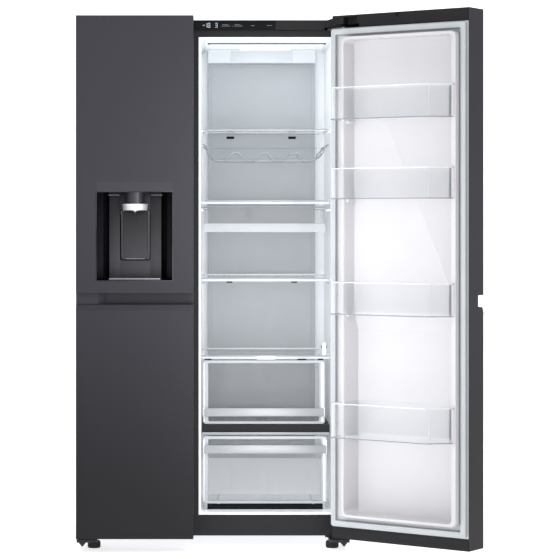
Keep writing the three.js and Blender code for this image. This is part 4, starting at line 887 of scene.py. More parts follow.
@dataclass
class Compartment:
    """What both compartments share: the opening inside the liner, and its round inner corners."""

    home: Placement
    prefix: str = ""
    flange: float = 0.008
    front_gap: float = 0.0002
    back_wall: float = 0.0029
    cove_radius: float = 0.014
    cove_steps: int = 6

    def __post_init__(self) -> None:
        """Works out the opening from the liner."""
        liner = self.home.box(f"{self.prefix}_liner")
        self.left, self.right = within(liner.x, self.flange, self.flange)
        self.floor, self.ceiling = within(liner.z, self.flange, self.flange)
        self.front, self.back = liner.low.y + self.front_gap, liner.high.y - self.back_wall

    def add_coves(self) -> None:
        """Adds the round inner corners along the compartment's depth."""
        coves = Maker(f"{self.prefix}_liner_coves", self.home)
        radius, gap = self.cove_radius, 0.0003
        for cx, sx in ((self.left, 1), (self.right, -1)):
            for cz, sz in ((self.floor, 1), (self.ceiling, -1)):
                outline = [(cx - sx * gap, cz - sz * gap), (cx + sx * radius, cz - sz * gap)]
                for step in range(self.cove_steps + 1):
                    angle = math.pi / 2 * step / self.cove_steps
                    across, up = radius * (1 - math.sin(angle)), radius * (1 - math.cos(angle))
                    outline.append((cx + sx * across, cz + sz * up))
                outline.append((cx - sx * gap, cz + sz * radius))
                coves.prism(outline, Axis.Y, (self.front, self.back), 0)
        coves.make(LINER_WHITE, "white_plastic")


@dataclass
class FridgeCompartment(Compartment):
    """Fresh food side: lining, air duct, lamp, glass shelves, rack and drawers."""

    prefix: str = "fridge"
    seam_depth: float = 0.1548
    louvres: int = 6
    rack_places: int = 4
    rack_wire: float = 0.002
    rail_wire: float = 0.0015
    crisper_grip: float = 0.010

    def build(self) -> None:
        """Dresses the lining and builds each fitting."""
        # painted light: the fridge liner's finish glows
        refine(PAINTED_GLOW_LINER, "fridge_liner", bevel=0.0012)
        refine(DUCT_FILM, "duct_panel", bevel=0.002)
        refine(HOUSING_WHITE, "ceiling_housing", bevel=0.0015)
        refine(GLASS, "shelf_upper", "shelf_middle", "shelf_lower", "crisper_cover", bevel=0.0006)
        refine(BLACK_MOULDING, "crisper_divider", bevel=0.001)
        refine(CLEAR, "wine_rack", "upper_crisper", "lower_crisper", "snack_drawer", bevel=0.0008)
        self.add_coves()
        self.add_ceiling()
        self.add_duct_vents()
        for node in ("shelf_middle", "shelf_lower", "crisper_cover"):
            self.add_lip_rail(node)
        for node in ("shelf_upper", "shelf_middle", "shelf_lower", "crisper_cover"):
            self.add_shelf_frame(node)
        self.add_shelf_clips()
        self.add_cover_fittings()
        self.add_divider_trim()
        self.add_rack_wires()
        self.add_snack_front()
        self.add_crisper_front("upper_crisper", band_rise=0.026, end_rise=0)
        self.add_crisper_front("lower_crisper", band_rise=0.171, end_rise=0.015)

    def add_ceiling(self) -> None:
        """Lamp lens, the seam in front of it and the louvred air outlet."""
        housing = self.home.box("ceiling_housing")
        seam = Maker("ceiling_seam", self.home)
        across, depth = within((self.left, self.right), 0.026, 0.016), self.front + self.seam_depth
        seam.bar(across, about(depth, 0.002), (self.ceiling - 0.003, self.ceiling + 0.0002), 0.0006)
        plug = [(0, -0.0045), (0.003, -0.0045), (0.0036, -0.003), (0.0036, 0)]
        for x in across:
            seam.lathe(plug, (x, depth, self.ceiling), Axis.Z, 16)
        seam.make(DARK_TRIM_AND_SHADE, "grey_panel")
        lens = Maker("ceiling_lamp_lens", self.home)
        lens_y = (housing.low.y - 0.125, housing.low.y - 0.010)
        outline = rounded(within(housing.x, 0.112, 0.092), lens_y, 0.012)
        lens.prism(outline, Axis.Z, (self.ceiling - 0.004, self.ceiling), 0.0018, 3)
        lens.make(LAMP_LENS, "clear_plastic")
        outlet = Maker("ceiling_air_outlet", self.home)
        x, z = within(housing.x, 0.080, 0.082), within(housing.z, 0.003, 0.004)
        face = housing.low.y
        outlet.bar(x, (face, face + 0.0035), z, 0.0008)
        pitch = (z[1] - z[0]) / self.louvres
        for step in range(1, self.louvres):
            height = z[0] + step * pitch
            outlet.bar(within(x, 0.004, 0.004), (face - 0.0017, face + 0.0005),
                       (height - 0.0012, height + 0.0008), 0.0004, 1)
        outlet.make(HOUSING_WHITE, "grey_panel")

    def add_duct_vents(self) -> None:
        """Air slots in the duct panel under the upper shelf, drawn as dark insets that are painted shade, and
        the pressed line round the panel.
        """
        panel = self.home.box("duct_panel")
        face, height = panel.low.y, self.home.box("shelf_upper").low.z - 0.010
        for hand, middle in zip(("left", "right"), within(panel.x, 0.080, 0.082)):
            vent = Maker(f"duct_vent_upper_{hand}", self.home)
            outline = rounded(about(middle, 0.014), about(height, 0.0045), 0.002, 3)
            vent.prism(outline, Axis.Y, (face - 0.0008, face + 0.002), 0.0003, 1)
            # painted shade: the dark inset stands in for the shade inside the slot
            vent.make(DARK_TRIM_AND_SHADE, "black_plastic")
        groove = Maker("duct_panel_border", self.home)
        x, z = within(panel.x, 0.012, 0.012), within(panel.z, 0.012, 0.012)
        ring = [(x[0], face, z[0]), (x[1], face, z[0]), (x[1], face, z[1]), (x[0], face, z[1])]
        groove.sweep(ring, disc(0.0007, 8), up=ALONG_Y, closed=True)
        groove.make(DUCT_FILM, "grey_panel")

    def add_shelf_frame(self, node: str) -> None:
        """Adds a glass shelf's polished front edge and the carrier along its sides and back."""
        box = self.home.box(node)
        front, back, top = box.low.y, box.high.y, box.high.z
        edge = Maker(f"{node}_glass_edge", self.home)
        edge.bar(within(box.x, 0.001, 0.001), (front - 0.0009, front + 0.0006), (top - 0.0036, top - 0.0002),
                 0.0004)
        edge.make(SHELF_EDGE, "shelf_glass")
        sides = Maker(f"{node}_side_rails", self.home)
        left, right = box.x
        for start, end in ((left - 0.0018, left + 0.009), (right - 0.009, right + 0.0018)):
            sides.bar((start, end), (front + 0.016, back - 0.004), (top - 0.0002, top + 0.0022), 0.0008)
        sides.bar(within(box.x, 0.012, 0.012), (back - 0.014, back - 0.003),
                  (top - 0.0002, top + 0.005), 0.0012)
        sides.make(TRIM_WHITE, "white_plastic")

    def add_lip_rail(self, node: str) -> None:
        """Adds the clear rail over a shelf's front lip."""
        box = self.home.box(node)
        front, top = box.low.y, box.high.z
        rail = Maker(f"{node}_front_rail", self.home)
        profile = [(front - 0.0016, top - 0.0125), (front + 0.0002, top - 0.0129),
                   (front + 0.0002, top - 0.0042), (front - 0.0016, top - 0.0046)]
        rail.prism(profile, Axis.X, within(box.x, 0.0005, 0.0005), 0.0004)
        rail.make(RIM_CLEAR, "clear_plastic")

    def add_shelf_clips(self) -> None:
        """Two dark clips under the lower shelf's lip, and its corner brackets."""
        box = self.home.box("shelf_lower")
        front, low = box.low.y, box.low.z
        clips = Maker("shelf_lower_clips", self.home)
        for middle in within(box.x, 0.0945, 0.1205):
            clips.bar(about(middle, 0.010), (front + 0.001, front + 0.012),
                      (low - 0.0055, low + 0.0004), 0.0008)
        clips.make(DARK_TRIM_AND_SHADE, "black_plastic")
        brackets = Maker("shelf_lower_brackets", self.home)
        for x, way in ((box.low.x + 0.001, 1), (box.high.x - 0.001, -1)):
            outline = [(x, low - 0.012), (x + way * 0.010, low - 0.004), (x + way * 0.022, low), (x, low)]
            brackets.prism(outline, Axis.Y, (front + 0.002, front + 0.020), 0.001)
        brackets.make(SHELF_EDGE, "clear_plastic")

    def add_cover_fittings(self) -> None:
        """The crisper cover's finger tab, its dark clips and the bright latch at its right."""
        box = self.home.box("crisper_cover")
        front, low, top = box.low.y, box.low.z, box.high.z
        left, right = box.x
        tab = Maker("crisper_cover_tab", self.home)
        outline = [(front - 0.004, low - 0.001), (front - 0.001, low - 0.003), (front + 0.006, low + 0.001),
                   (front + 0.006, low + 0.010), (front - 0.004, low + 0.010)]
        tab.prism(outline, Axis.X, (left + 0.1885, left + 0.2525), 0.001)
        tab.make(TRIM_WHITE, "white_plastic")
        clips = Maker("crisper_cover_clips", self.home)
        for middle, half in ((left + 0.0205, 0.012), (right - 0.0945, 0.015), (right - 0.0305, 0.010)):
            clips.bar(about(middle, half), (front - 0.002, front + 0.004),
                      (low - 0.004, low + 0.0005), 0.0006)
        clips.make(DARK_TRIM_AND_SHADE, "black_plastic")
        latch = Maker("crisper_cover_latch", self.home)
        latch_x = right - 0.018
        side = [(front + 0.004, top), (front + 0.030, top), (front + 0.030, top + 0.040),
                (front + 0.020, top + 0.046), (front + 0.010, top + 0.040), (front + 0.004, top + 0.018)]
        latch.prism(side, Axis.X, about(latch_x, 0.007), 0.0012, 3)
        latch.make(CHROME, "chrome")
        pin = Maker("crisper_cover_latch_pin", self.home)
        cross = [(0, -0.010), (0.0036, -0.010), (0.004, -0.009),
                 (0.004, 0.009), (0.0036, 0.010), (0, 0.010)]
        post = [(0, 0), (0.005, 0), (0.006, 0.002), (0.006, 0.012), (0.005, 0.014), (0, 0.014)]
        pin.lathe(cross, (latch_x, front + 0.017, top + 0.028), Axis.X, 20)
        pin.lathe(post, (latch_x, front + 0.017, top), Axis.Z, 20)
        pin.make(BLACK_IRON, "chrome")

    def add_divider_trim(self) -> None:
        """Pale strip along the crisper divider's foot, and a dark strip under the lower crisper that is
        painted shadow.
        """
        box, crisper = self.home.box("crisper_divider"), self.home.box("lower_crisper")
        trim = Maker("crisper_divider_trim", self.home)
        trim.bar(within(box.x, 0.001, 0.001), (box.low.y - 0.0016, box.low.y + 0.0004),
                 (box.low.z - 0.0050, box.low.z + 0.0040), 0.0012)
        trim.make(CRISPER_FRAME, "grey_panel")
        # painted shadow: the dark strip stands in for the shade under the lower crisper
        painted_shadow_strip = Maker("lower_crisper_plinth", self.home)
        y = (crisper.low.y + 0.0135, crisper.low.y + 0.029)
        z = (self.floor + 0.0005, self.floor + 0.0185)
        profile = [(y[0], z[0]), (y[0], z[1]), (y[1], z[1]), (y[1], z[0])]
        painted_shadow_strip.prism(profile, Axis.X, within(crisper.x, 0.015, 0.014), 0.002)
        painted_shadow_strip.make(DARK_TRIM_AND_SHADE, "black_plastic")

    def add_rack_wires(self) -> None:
        """Bright bars under the rack's cradles and along its front and back edges."""
        box = self.home.box("wine_rack")
        margin, plate = 0.016, 0.004
        pitch = (box.high.x - box.low.x - 2 * margin) / self.rack_places
        saddle, half = box.low.z + 0.030, min(0.034, pitch / 2 - 0.006)
        for name, y in (("front", box.low.y + 0.001), ("back", box.high.y - 0.001)):
            path = [(box.low.x + 0.002, y, box.high.z), (box.low.x + 0.008, y, box.high.z - 0.003)]
            for place in range(self.rack_places):
                centre = box.low.x + margin + (place + 0.5) * pitch
                for step in range(13):
                    angle = math.pi * (1 + step / 12)
                    path.append((centre + math.cos(angle) * (half + 0.002), y,
                                 saddle + math.sin(angle) * (saddle - box.low.z - plate) - 0.002))
            path += [(box.high.x - 0.008, y, box.high.z - 0.003), (box.high.x - 0.002, y, box.high.z)]
            wire = Maker(f"rack_{name}_wire", self.home)
            wire.sweep(path, disc(self.rack_wire, 8), up=ALONG_Y)
            wire.make(SHELF_EDGE, "chrome")
        bars = Maker("rack_cross_bars", self.home)
        low = box.low.z
        for y, foot in ((box.low.y - 0.002, low + 0.001), (box.low.y + 0.006, low + 0.007),
                        (box.high.y - 0.004, low + 0.001)):
            bars.sweep(self.boat(box, y, foot), disc(self.rail_wire, 8), up=ALONG_Y)
        y, z = box.high.y - 0.002, box.high.z - 0.004
        bars.sweep([(x, y, z) for x in within(box.x, 0.03, 0.03)], disc(0.0013, 8), up=ALONG_Y)
        bars.make(SHELF_EDGE, "chrome")

    @staticmethod
    def boat(box: Box, y: float, low: float) -> list[Point]:
        """Path of a rack's rail: a hook at each side wall, a round bend down and a straight foot.

        Args:
            box: The rack's box.
            y: The rail's depth.
            low: The height of its foot.

        Returns:
            The rail's points from left to right.
        """
        half, bend, shoulder = box.middle.x - box.low.x - 0.016, 0.046, box.high.z - 0.006
        side = [(half + 0.015, box.high.z), (half + 0.006, box.high.z - 0.001), (half, shoulder)]
        for step in range(1, 9):
            angle = math.pi / 2 * step / 8
            side.append((half - bend * (1 - math.cos(angle)), shoulder - (shoulder - low) * math.sin(angle)))
        middle = box.middle.x
        return [(middle - u, y, v) for u, v in side] + [(middle + u, y, v) for u, v in reversed(side)]

    def add_snack_front(self) -> None:
        """The snack drawer's clear rim, frosted front band and grey end clips."""
        home = Placement("snack_drawer")
        box = home.box("snack_drawer")
        x, front = box.x, box.low.y
        band = Maker("snack_drawer_band", home)
        outline = rounded(within(x, 0.004, 0.004), (front + 0.0006, front + 0.012), 0.004, 3)
        band.prism(outline, Axis.Z, (box.low.z - 0.0006, box.low.z + 0.029), 0.001)
        band.make(FROSTED, "frosted_plastic")
        rim = Maker("snack_drawer_rim", home)
        corners = rounded(within(x, 0.0012, 0.0012), (front + 0.0012, box.high.y - 0.0012), 0.012, 4)
        rim.sweep([(u, v, box.high.z - 0.0005) for u, v in corners], disc(0.0014, 8), closed=True)
        rim.sweep([(u, v, box.high.z - 0.0100) for u, v in corners], disc(0.0008, 6), closed=True)
        rim.make(SHELF_EDGE, "clear_plastic")
        clips = Maker("snack_drawer_end_clips", home)
        for start, end in ((x[0] + 0.0045, x[0] + 0.010), (x[1] - 0.010, x[1] - 0.0045)):
            clips.bar((start, end), (front + 0.0005, front + 0.010), within(box.z, 0.029, 0.010), 0.001)
        clips.make(SHELF_EDGE, "grey_panel")

    def add_crisper_front(self, node: str, band_rise: float, end_rise: float) -> None:
        """Adds a crisper's front frame, its satin band and the clips at the band's ends.

        Args:
            node: The crisper.
            band_rise: Height of the band's lower edge above the crisper's base.
            end_rise: How far the clips at its ends stand above it.
        """
        home = Placement(node)
        box = home.box(node)
        x, z = box.x, box.z
        front = box.low.y + self.crisper_grip
        surround = Maker(f"{node}_front_frame", home)
        outer = rounded(within(x, 0.001, 0.001), within(z, 0.0005, 0.001), 0.010, 4)
        inner = rounded(within(x, 0.018, 0.020), within(z, 0.009, 0.010), 0.005, 4)
        self.ring(surround, outer, inner, (front - 0.0012, front + 0.003))
        surround.make(CRISPER_FRAME, "clear_plastic")
        line = Maker(f"{node}_window_line", home)
        line.sweep([(u, front - 0.0014, v) for u, v in inner], disc(0.0008, 6), up=ALONG_Y, closed=True)
        line.sweep([(u, front - 0.0004, v) for u, v in outer], disc(0.0009, 6), up=ALONG_Y, closed=True)
        ends_x = (inner[0][0], inner[-1][0] - inner[0][0] + inner[7][0])
        line.sweep([(u, front + 0.001, z[1] - 0.024) for u in ends_x], disc(0.0008, 6))
        line.make(SHELF_EDGE, "grey_panel")
        strips = Maker(f"{node}_side_strips", home)
        for start, end in ((x[0] + 0.0025, x[0] + 0.0055), (x[1] - 0.0125, x[1] - 0.0055)):
            strips.bar((start, end), (front - 0.0018, front + 0.001), within(z, 0.008, 0.008), 0.0006)
        strips.make(TRIM_WHITE, "white_plastic")
        low = z[0] + band_rise
        band = Maker(f"{node}_band", home)
        profile = [(-0.0104, 0.003), (-0.0096, 0), (-0.002, -0.0004),
                   (-0.002, 0.028), (-0.0085, 0.0285), (-0.0104, 0.025)]
        outline = [(front + y, low + z) for y, z in profile]
        band.prism(outline, Axis.X, within(x, 0.003, 0.003), 0.0008, 3)
        band.make(CRISPER_BAND, "grey_panel")
        ends = Maker(f"{node}_band_ends", home)
        for start, end in ((x[0] + 0.001, x[0] + 0.006), (x[1] - 0.006, x[1] - 0.001)):
            ends.bar((start, end), (front - 0.0098, front + 0.002),
                     (low - 0.0005, low + 0.030 + end_rise), 0.001)
        ends.make(TRIM_WHITE, "white_plastic")

    @staticmethod
    def ring(maker: Maker, outer: list[Flat], inner: list[Flat], y: Flat) -> None:
        """Adds a flat upright ring between two outlines.

        Args:
            maker: The piece it goes into.
            outer: The outer outline, as (x, z).
            inner: The inner outline, with as many points.
            y: The ring's range in depth.
        """
        loops = [[maker.mesh.verts.new((u, depth, v)) for u, v in outline]
                 for depth in y for outline in (outer, inner)]
        count = len(outer)
        pairs = ((loops[0], loops[1]), (loops[3], loops[2]), (loops[2], loops[0]), (loops[1], loops[3]))
        faces = [
            maker.mesh.faces.new((a[i], a[(i + 1) % count], b[(i + 1) % count], b[i]))
            for a, b in pairs for i in range(count)
        ]
        bmesh.ops.recalc_face_normals(maker.mesh, faces=faces)


@dataclass
class FreezerCompartment(Compartment):
    """Freezer side: lining, drawers, shelf, ice bucket, ice maker and cold air slots."""

    prefix: str = "freezer"
    slot_rows: int = 2
    slots_across: int = 6

    def build(self) -> None:
        """Dresses the lining and adds the fittings' fronts."""
        refine(LINER_WHITE, "freezer_liner", "evaporator_cover", "ice_maker", bevel=0.0012)
        refine(GLASS, "freezer_shelf", bevel=0.0006)
        refine(FROSTED, "ice_bucket", bevel=0.001)
        refine(CLEAR, "freezer_drawer_lower", "freezer_drawer_upper", bevel=0.001)
        self.add_coves()
        for node in ("freezer_drawer_lower", "freezer_drawer_upper", "ice_bucket"):
            self.add_front(node)
        self.add_shelf_rail()
        self.add_cover_slots()
        self.add_lamp()

    def add_front(self, node: str) -> None:
        """A pale front with a pull lip on a drawer or the ice bucket."""
        box = self.home.box(node)
        face = Maker(f"{node}_front", self.home)
        front, top = box.low.y, box.high.z - 0.012
        outline = rounded(within(box.x, 0.006, 0.006), (box.low.z + 0.002, top), 0.012)
        face.prism(outline, Axis.Y, (front - 0.0012, front + 0.0026), 0.001)
        lip = [(front - 0.012, top - 0.034), (front - 0.010, top - 0.037), (front - 0.0005, top - 0.020),
               (front - 0.0005, top - 0.008), (front - 0.009, top - 0.010), (front - 0.012, top - 0.014)]
        face.prism(lip, Axis.X, within(box.x, 0.05, 0.05), 0.0012, 3)
        face.make(FROSTED, "frosted_plastic")

    def add_shelf_rail(self) -> None:
        """White rail along the freezer shelf's front edge."""
        box = self.home.box("freezer_shelf")
        rail = Maker("freezer_shelf_rail", self.home)
        rail.bar(box.x, (box.low.y - 0.0016, box.low.y + 0.006),
                 (box.low.z - 0.006, box.high.z + 0.0001), 0.001)
        rail.make(TRIM_WHITE, "white_plastic")

    def add_cover_slots(self) -> None:
        """Rows of air slots in the cover over the coil, drawn as dark insets that are painted shade."""
        box = self.home.box("evaporator_cover")
        slots = Maker("evaporator_cover_slots", self.home)
        for row in range(self.slot_rows):
            for place in range(self.slots_across):
                x = box.middle.x + (place - (self.slots_across - 1) / 2) * 0.04
                z = box.high.z - 0.05 - row * 0.03
                outline = rounded(about(x, 0.015), about(z, 0.004), 0.0039, 3)
                slots.prism(outline, Axis.Y, (box.low.y - 0.0006, box.low.y + 0.001), 0.0002, 1)
        # painted shade: dark insets stand in for the shade inside the slots
        slots.make(DARK_TRIM_AND_SHADE, "black_plastic")

    def add_lamp(self) -> None:
        """Small lamp lens in the freezer's ceiling."""
        lens = Maker("freezer_lamp_lens", self.home)
        outline = rounded(within((self.left, self.right), 0.111, 0.113),
                          (self.front + 0.0348, self.front + 0.0848), 0.008)
        lens.prism(outline, Axis.Z, (self.ceiling - 0.004, self.ceiling), 0.0015, 2)
        lens.make(LAMP_LENS, "clear_plastic")


# ------------------------------------------------------------------------------------- doors


@dataclass
class DoorShell:
    """What both doors share: painted skin, caps, inner lining and seal."""

    home: Placement
    prefix: str
    seal_width: float = 0.017

    def build(self) -> None:
        """Dresses the shell and adds the seal's folds."""
        refine(DOOR_PAINT, f"{self.prefix}_skin", bevel=0.0004)
        refine(FOAM, f"{self.prefix}_core", bevel=0.0005)
        refine(DOOR_WHITE, f"{self.prefix}_liner", bevel=0.002)
        refine(CAP_MOULDING, f"{self.prefix}_top_cap", f"{self.prefix}_bottom_cap", bevel=0.0008)
        refine(SEAL_VINYL, f"{self.prefix}_gasket", bevel=0.001)
        self.add_seal_folds()

    def add_seal_folds(self) -> None:
        """Soft folds along the inner and outer edges of the seal, in a darker grey than the seal that is
        painted shade.
        """
        seal = self.home.box(f"{self.prefix}_gasket")
        panel = self.home.box(f"{self.prefix}_liner")
        folds = Maker(f"{self.prefix}_gasket_folds", self.home)
        rings = ((self.seal_width + 0.0012, seal.low.y + 0.0026, 0.0022),
                 (self.seal_width - 0.001, seal.middle.y + 0.001, 0.0016),
                 (0.002, seal.low.y + 0.0028, 0.0018))
        for inset, y, radius in rings:
            outline = rounded(within(seal.x, inset, inset), within(seal.z, inset, inset), 0.004, 3)
            path = [(u, max(y, panel.low.y), v) for u, v in outline]
            folds.sweep(path, disc(radius, 8), up=ALONG_Y, closed=True)
        folds.make(SEAL_FOLD_SHADE, "gasket")


@dataclass
class FreezerDoor:
    """Left door with the dispenser, its control panel and the inner bin."""

    home: Placement
    paddle_home: Placement
    half_well: float = 0.0875
    half_panel: float = 0.1265
    panel_height: float = 0.033
    lamp_rise: float = 0.286
    grille_gaps: int = 20

    def build(self) -> None:
        """Builds the shell, the dispenser and the bin."""
        DoorShell(self.home, "freezer_door").build()
        refine(WELL_GLOSS, "dispenser_housing", bevel=0.0005)
        refine(CHUTE_GREY, "dispenser_chute", bevel=0.0004)
        refine(CLEAR, "freezer_door_bin", bevel=0.0008)
        self.add_back_plate()
        self.add_paddle_face()
        self.add_chute_ring()
        self.add_tray_and_lamps()
        self.add_control_panel()
        add_handle_seam(self.home, "freezer_door")
        DoorBin(self.home, "freezer_door_bin", side=-1).build()

    def well(self) -> Box:
        """The dispenser housing's box."""
        return self.home.box("dispenser_housing")

    def add_back_plate(self) -> None:
        """Painted plate over the back of the well, with a window for the paddle, and a near-black ring in the
        window's edge that is painted shadow.
        """
        well, paddle = self.well(), self.paddle_home.box("dispenser_paddle")
        plate = Maker("dispenser_back_plate", self.home)
        x, z = about(well.middle.x, 0.0868), within(well.z, 0.009, 0.003)
        gap, overlap = 0.0035, 0.001
        window = within(paddle.x, -gap, -gap)
        low, top = paddle.low.z - gap, paddle.high.z + 0.004
        span = (paddle.low.y + 0.0012, paddle.low.y + 0.0032)
        plate.bar((x[0], window[0]), span, z, 0.0006)
        plate.bar((window[1], x[1]), span, z, 0.0006)
        for rows in ((z[0], low), (top, z[1])):
            plate.bar(within(window, -overlap, -overlap), span, rows, 0.0006)
        # painted shade: the plate's paint darkens towards the well's roof
        plate.make(PLATE_PAINT, "gloss_black")
        # painted shadow: a near-black ring round the paddle's window stands in for the shade in the gap
        surround = Maker("dispenser_paddle_painted_shadow", self.home)
        path = [(u, span[0] + 0.0002, v) for u, v in rounded(window, (low, top), 0.008, 4)]
        surround.sweep(path, disc(0.0016, 8), up=ALONG_Y, closed=True)
        surround.make(SHADOW_GAP, "gloss_black")

    def add_paddle_face(self) -> None:
        """Satin face on the paddle, with a bright line along its foot."""
        box = self.paddle_home.box("dispenser_paddle")
        # painted shade: the paddle and its face darken towards the well's roof, like the back plate
        refine(PLATE_PAINT, "dispenser_paddle", bevel=0.001)
        face = Maker("dispenser_paddle_face", self.paddle_home)
        outline = rounded(within(box.x, 0.006, 0.006), within(box.z, 0.002, 0.004), 0.008)
        front = box.low.y
        face.prism(outline, Axis.Y, (front - 0.0012, front + 0.0008), 0.0008, 3)
        face.make(PLATE_PAINT, "black_plastic")
        foot = Maker("dispenser_paddle_foot", self.paddle_home)
        path = [(x, front - 0.0006, box.low.z + 0.0008) for x in within(box.x, 0.014, 0.014)]
        foot.sweep(path, disc(0.0013, 8), up=ALONG_Y)
        foot.make(TRAY_LIP, "black_plastic")

    def add_chute_ring(self) -> None:
        """Bright ring round the chute's foot, and the water nozzle in it."""
        box = self.home.box("dispenser_chute")
        radius = (box.high.x - box.low.x) / 2
        centre = (box.middle.x, box.middle.y, 0)
        ring_low = box.high.z - 0.061
        ring = Maker("dispenser_chute_ring", self.home)
        profile = [(-0.010, 0.001), (-0.003, -0.0006), (0, 0), (0.0008, 0.001), (0.0009, 0.016),
                   (0.0016, 0.0165), (0.0022, 0.018), (0.0018, 0.0205), (0.0006, 0.0215), (-0.009, 0.0215)]
        ring.lathe([(radius + r, ring_low + h) for r, h in profile], centre, Axis.Z, 48)
        ring.make(CHROME, "chrome")
        nozzle = Maker("dispenser_water_nozzle", self.home)
        profile = [(0, 0.004), (0.0074, 0.004), (0.0074, -0.001), (0.0066, -0.0032), (0.0042, -0.0038),
                   (0.0042, -0.001), (0, -0.001)]
        nozzle.lathe([(r, ring_low + h) for r, h in profile], centre, Axis.Z, 24)
        nozzle.make(CHROME, "chrome")

    def add_tray_and_lamps(self) -> None:
        """Silver lip and grille of the drip tray, and the two lamp bars under the roof."""
        well = self.well()
        middle, half = well.middle.x, self.half_well
        floor = well.low.z + 0.0085
        tray = Maker("dispenser_tray_lip", self.home)
        tray.bar(about(middle, half - 0.0025), (0.0092, 0.0125), (floor - 0.003, floor + 0.0022), 0.0008, 3)
        tray.make(TRAY_LIP, "chrome")
        grille = Maker("dispenser_tray_grille", self.home)
        first = middle - half + 0.004
        for step in range(self.grille_gaps + 1):
            x = first + step * (2 * half - 0.008) / self.grille_gaps
            grille.bar(about(x, 0.0011), (0.0145, 0.052), (floor - 0.001, floor + 0.0009), 0.0004, 1)
        grille.make(WELL_GLOSS, "gloss_black")
        lamps = Maker("dispenser_lamp_bars", self.home)
        z = well.low.z + self.lamp_rise
        for start, end in ((-0.089, -0.052), (0.054, 0.091)):
            lamps.bar((middle + start, middle + end), (0.030, 0.036), (z, z + 0.0030), 0.0008)
        lamps.make(WELL_LAMP, "gloss_black")

    def add_control_panel(self) -> None:
        """Flush touch panel over the well, and the dark edge round the well."""
        well = self.well()
        x, low = about(well.middle.x, self.half_panel), well.high.z - 0.0025
        panel = Maker("dispenser_control_panel", self.home)
        outline = rounded(x, (low + 0.0016, low + self.panel_height), 0.0012, 3)
        panel.prism(outline, Axis.Y, (-0.00025, 0.0008), 0.0002, 1)
        # painted light: the panel's finish is lighter higher up
        panel.make(PANEL_GLASS, "gloss_black")
        edge = Maker("dispenser_well_edge", self.home)
        top, foot = low - 0.0003, well.low.z + 0.0025
        corners = [(x[0], 0, top), (x[1], 0, top), (x[1], 0, foot), (x[0], 0, foot)]
        edge.sweep(corners, disc(0.0012, 8), up=ALONG_Y, closed=True)
        edge.make(WELL_GLOSS, "gloss_black")


def add_handle_seam(home: Placement, prefix: str) -> None:
    """Adds the dark seam along the crest of the ledge in a door's pocket handle.

    Args:
        home: The door's placement.
        prefix: The door's name.
    """
    skin = home.box(f"{prefix}_skin")
    crest = skin.low.z + HANDLE_CREST_RISE
    seam = Maker(f"{prefix}_handle_seam", home)
    seam.bar(within(skin.x, 0.001, 0.001), (0.0082, 0.0105), (crest - 0.0006, crest + 0.0014), 0.0005)
    seam.make(CAP_MOULDING, "black_plastic")


@dataclass
class DoorBin:
    """A clear bin's edges: a rim paler than the clear walls that is partly painted highlight, a grey base
    line that is painted shade, pale corner strips that are painted highlights, and the dark stops at its
    rim's ends.
    """

    home: Placement
    node: str
    side: int = 1
    reach: float = 0.068
    slant: float = 0.064
    corner: float = 0.013
    corner_steps: int = 5

    def build(self) -> None:
        """Adds the bin's edges."""
        box = self.home.box(self.node)
        front = self.front_path(box, 0.0012)
        # partly painted highlight: the rim is real, but its pale haze stands in for the highlight along it
        rim = Maker(f"{self.node}_rim", self.home)
        section = rounded((-0.0015, 0.0015), (-0.0022, 0.0012), 0.0008, 2)
        rim.sweep([(x, y, box.high.z) for x, y in front], section)
        rim.make(RIM_CLEAR, "clear_plastic")
        # painted shade: a grey line along the bin's foot
        base = Maker(f"{self.node}_base_painted_shade", self.home)
        base.sweep([(x, y, box.low.z + 0.0012) for x, y in front], disc(0.0017, 8))
        base.make(BASE_PAINTED_SHADE, "clear_plastic")
        # painted highlights: pale strips up the bin's corners stand in for the highlights on them
        corners = Maker(f"{self.node}_corner_painted_highlights", self.home)
        for index in (len(front) // 2, len(front) - 4, len(front) - 2):
            x, y = front[index]
            path = [(x, y, z) for z in within(box.z, 0.003, 0.003)]
            corners.sweep(path, disc(0.0012, 8), up=ALONG_Y)
        corners.make(RIM_CLEAR, "clear_plastic")
        stops = Maker(f"{self.node}_stops", self.home)
        for x, y in (front[0], front[-1]):
            stops.lathe([(0, -0.002), (0.0018, -0.0015), (0.0022, 0), (0.0018, 0.0015), (0, 0.002)],
                        (x, y, box.high.z - 0.001), Axis.Z, 12)
        stops.make(DARK_TRIM_AND_SHADE, "black_plastic")

    def front_path(self, box: Box, inset: float) -> list[Flat]:
        """Path of the bin's front edge.

        Args:
            box: The bin's box.
            inset: How far the path stays inside it.

        Returns:
            The (x, y) points from the bin's hinge end to its free end.
        """
        side, corner = self.side, self.corner
        hinge, free = within(box.x, inset, inset)[::-side]
        front, back = box.high.y - inset, box.high.y - self.reach
        path = [(hinge, back)]
        for step in range(self.corner_steps + 1):
            angle = math.pi / 2 * step / self.corner_steps
            along, out = corner * (1 - math.cos(angle)), corner * (1 - math.sin(angle))
            path.append((hinge - side * along, front - out))
        path += [(free + side * self.slant, front), (free + side * (self.slant - 0.009), front - 0.0075)]
        path += [(free + side * 0.0040, back + 0.008), (free, back + 0.003), (free, back)]
        return path


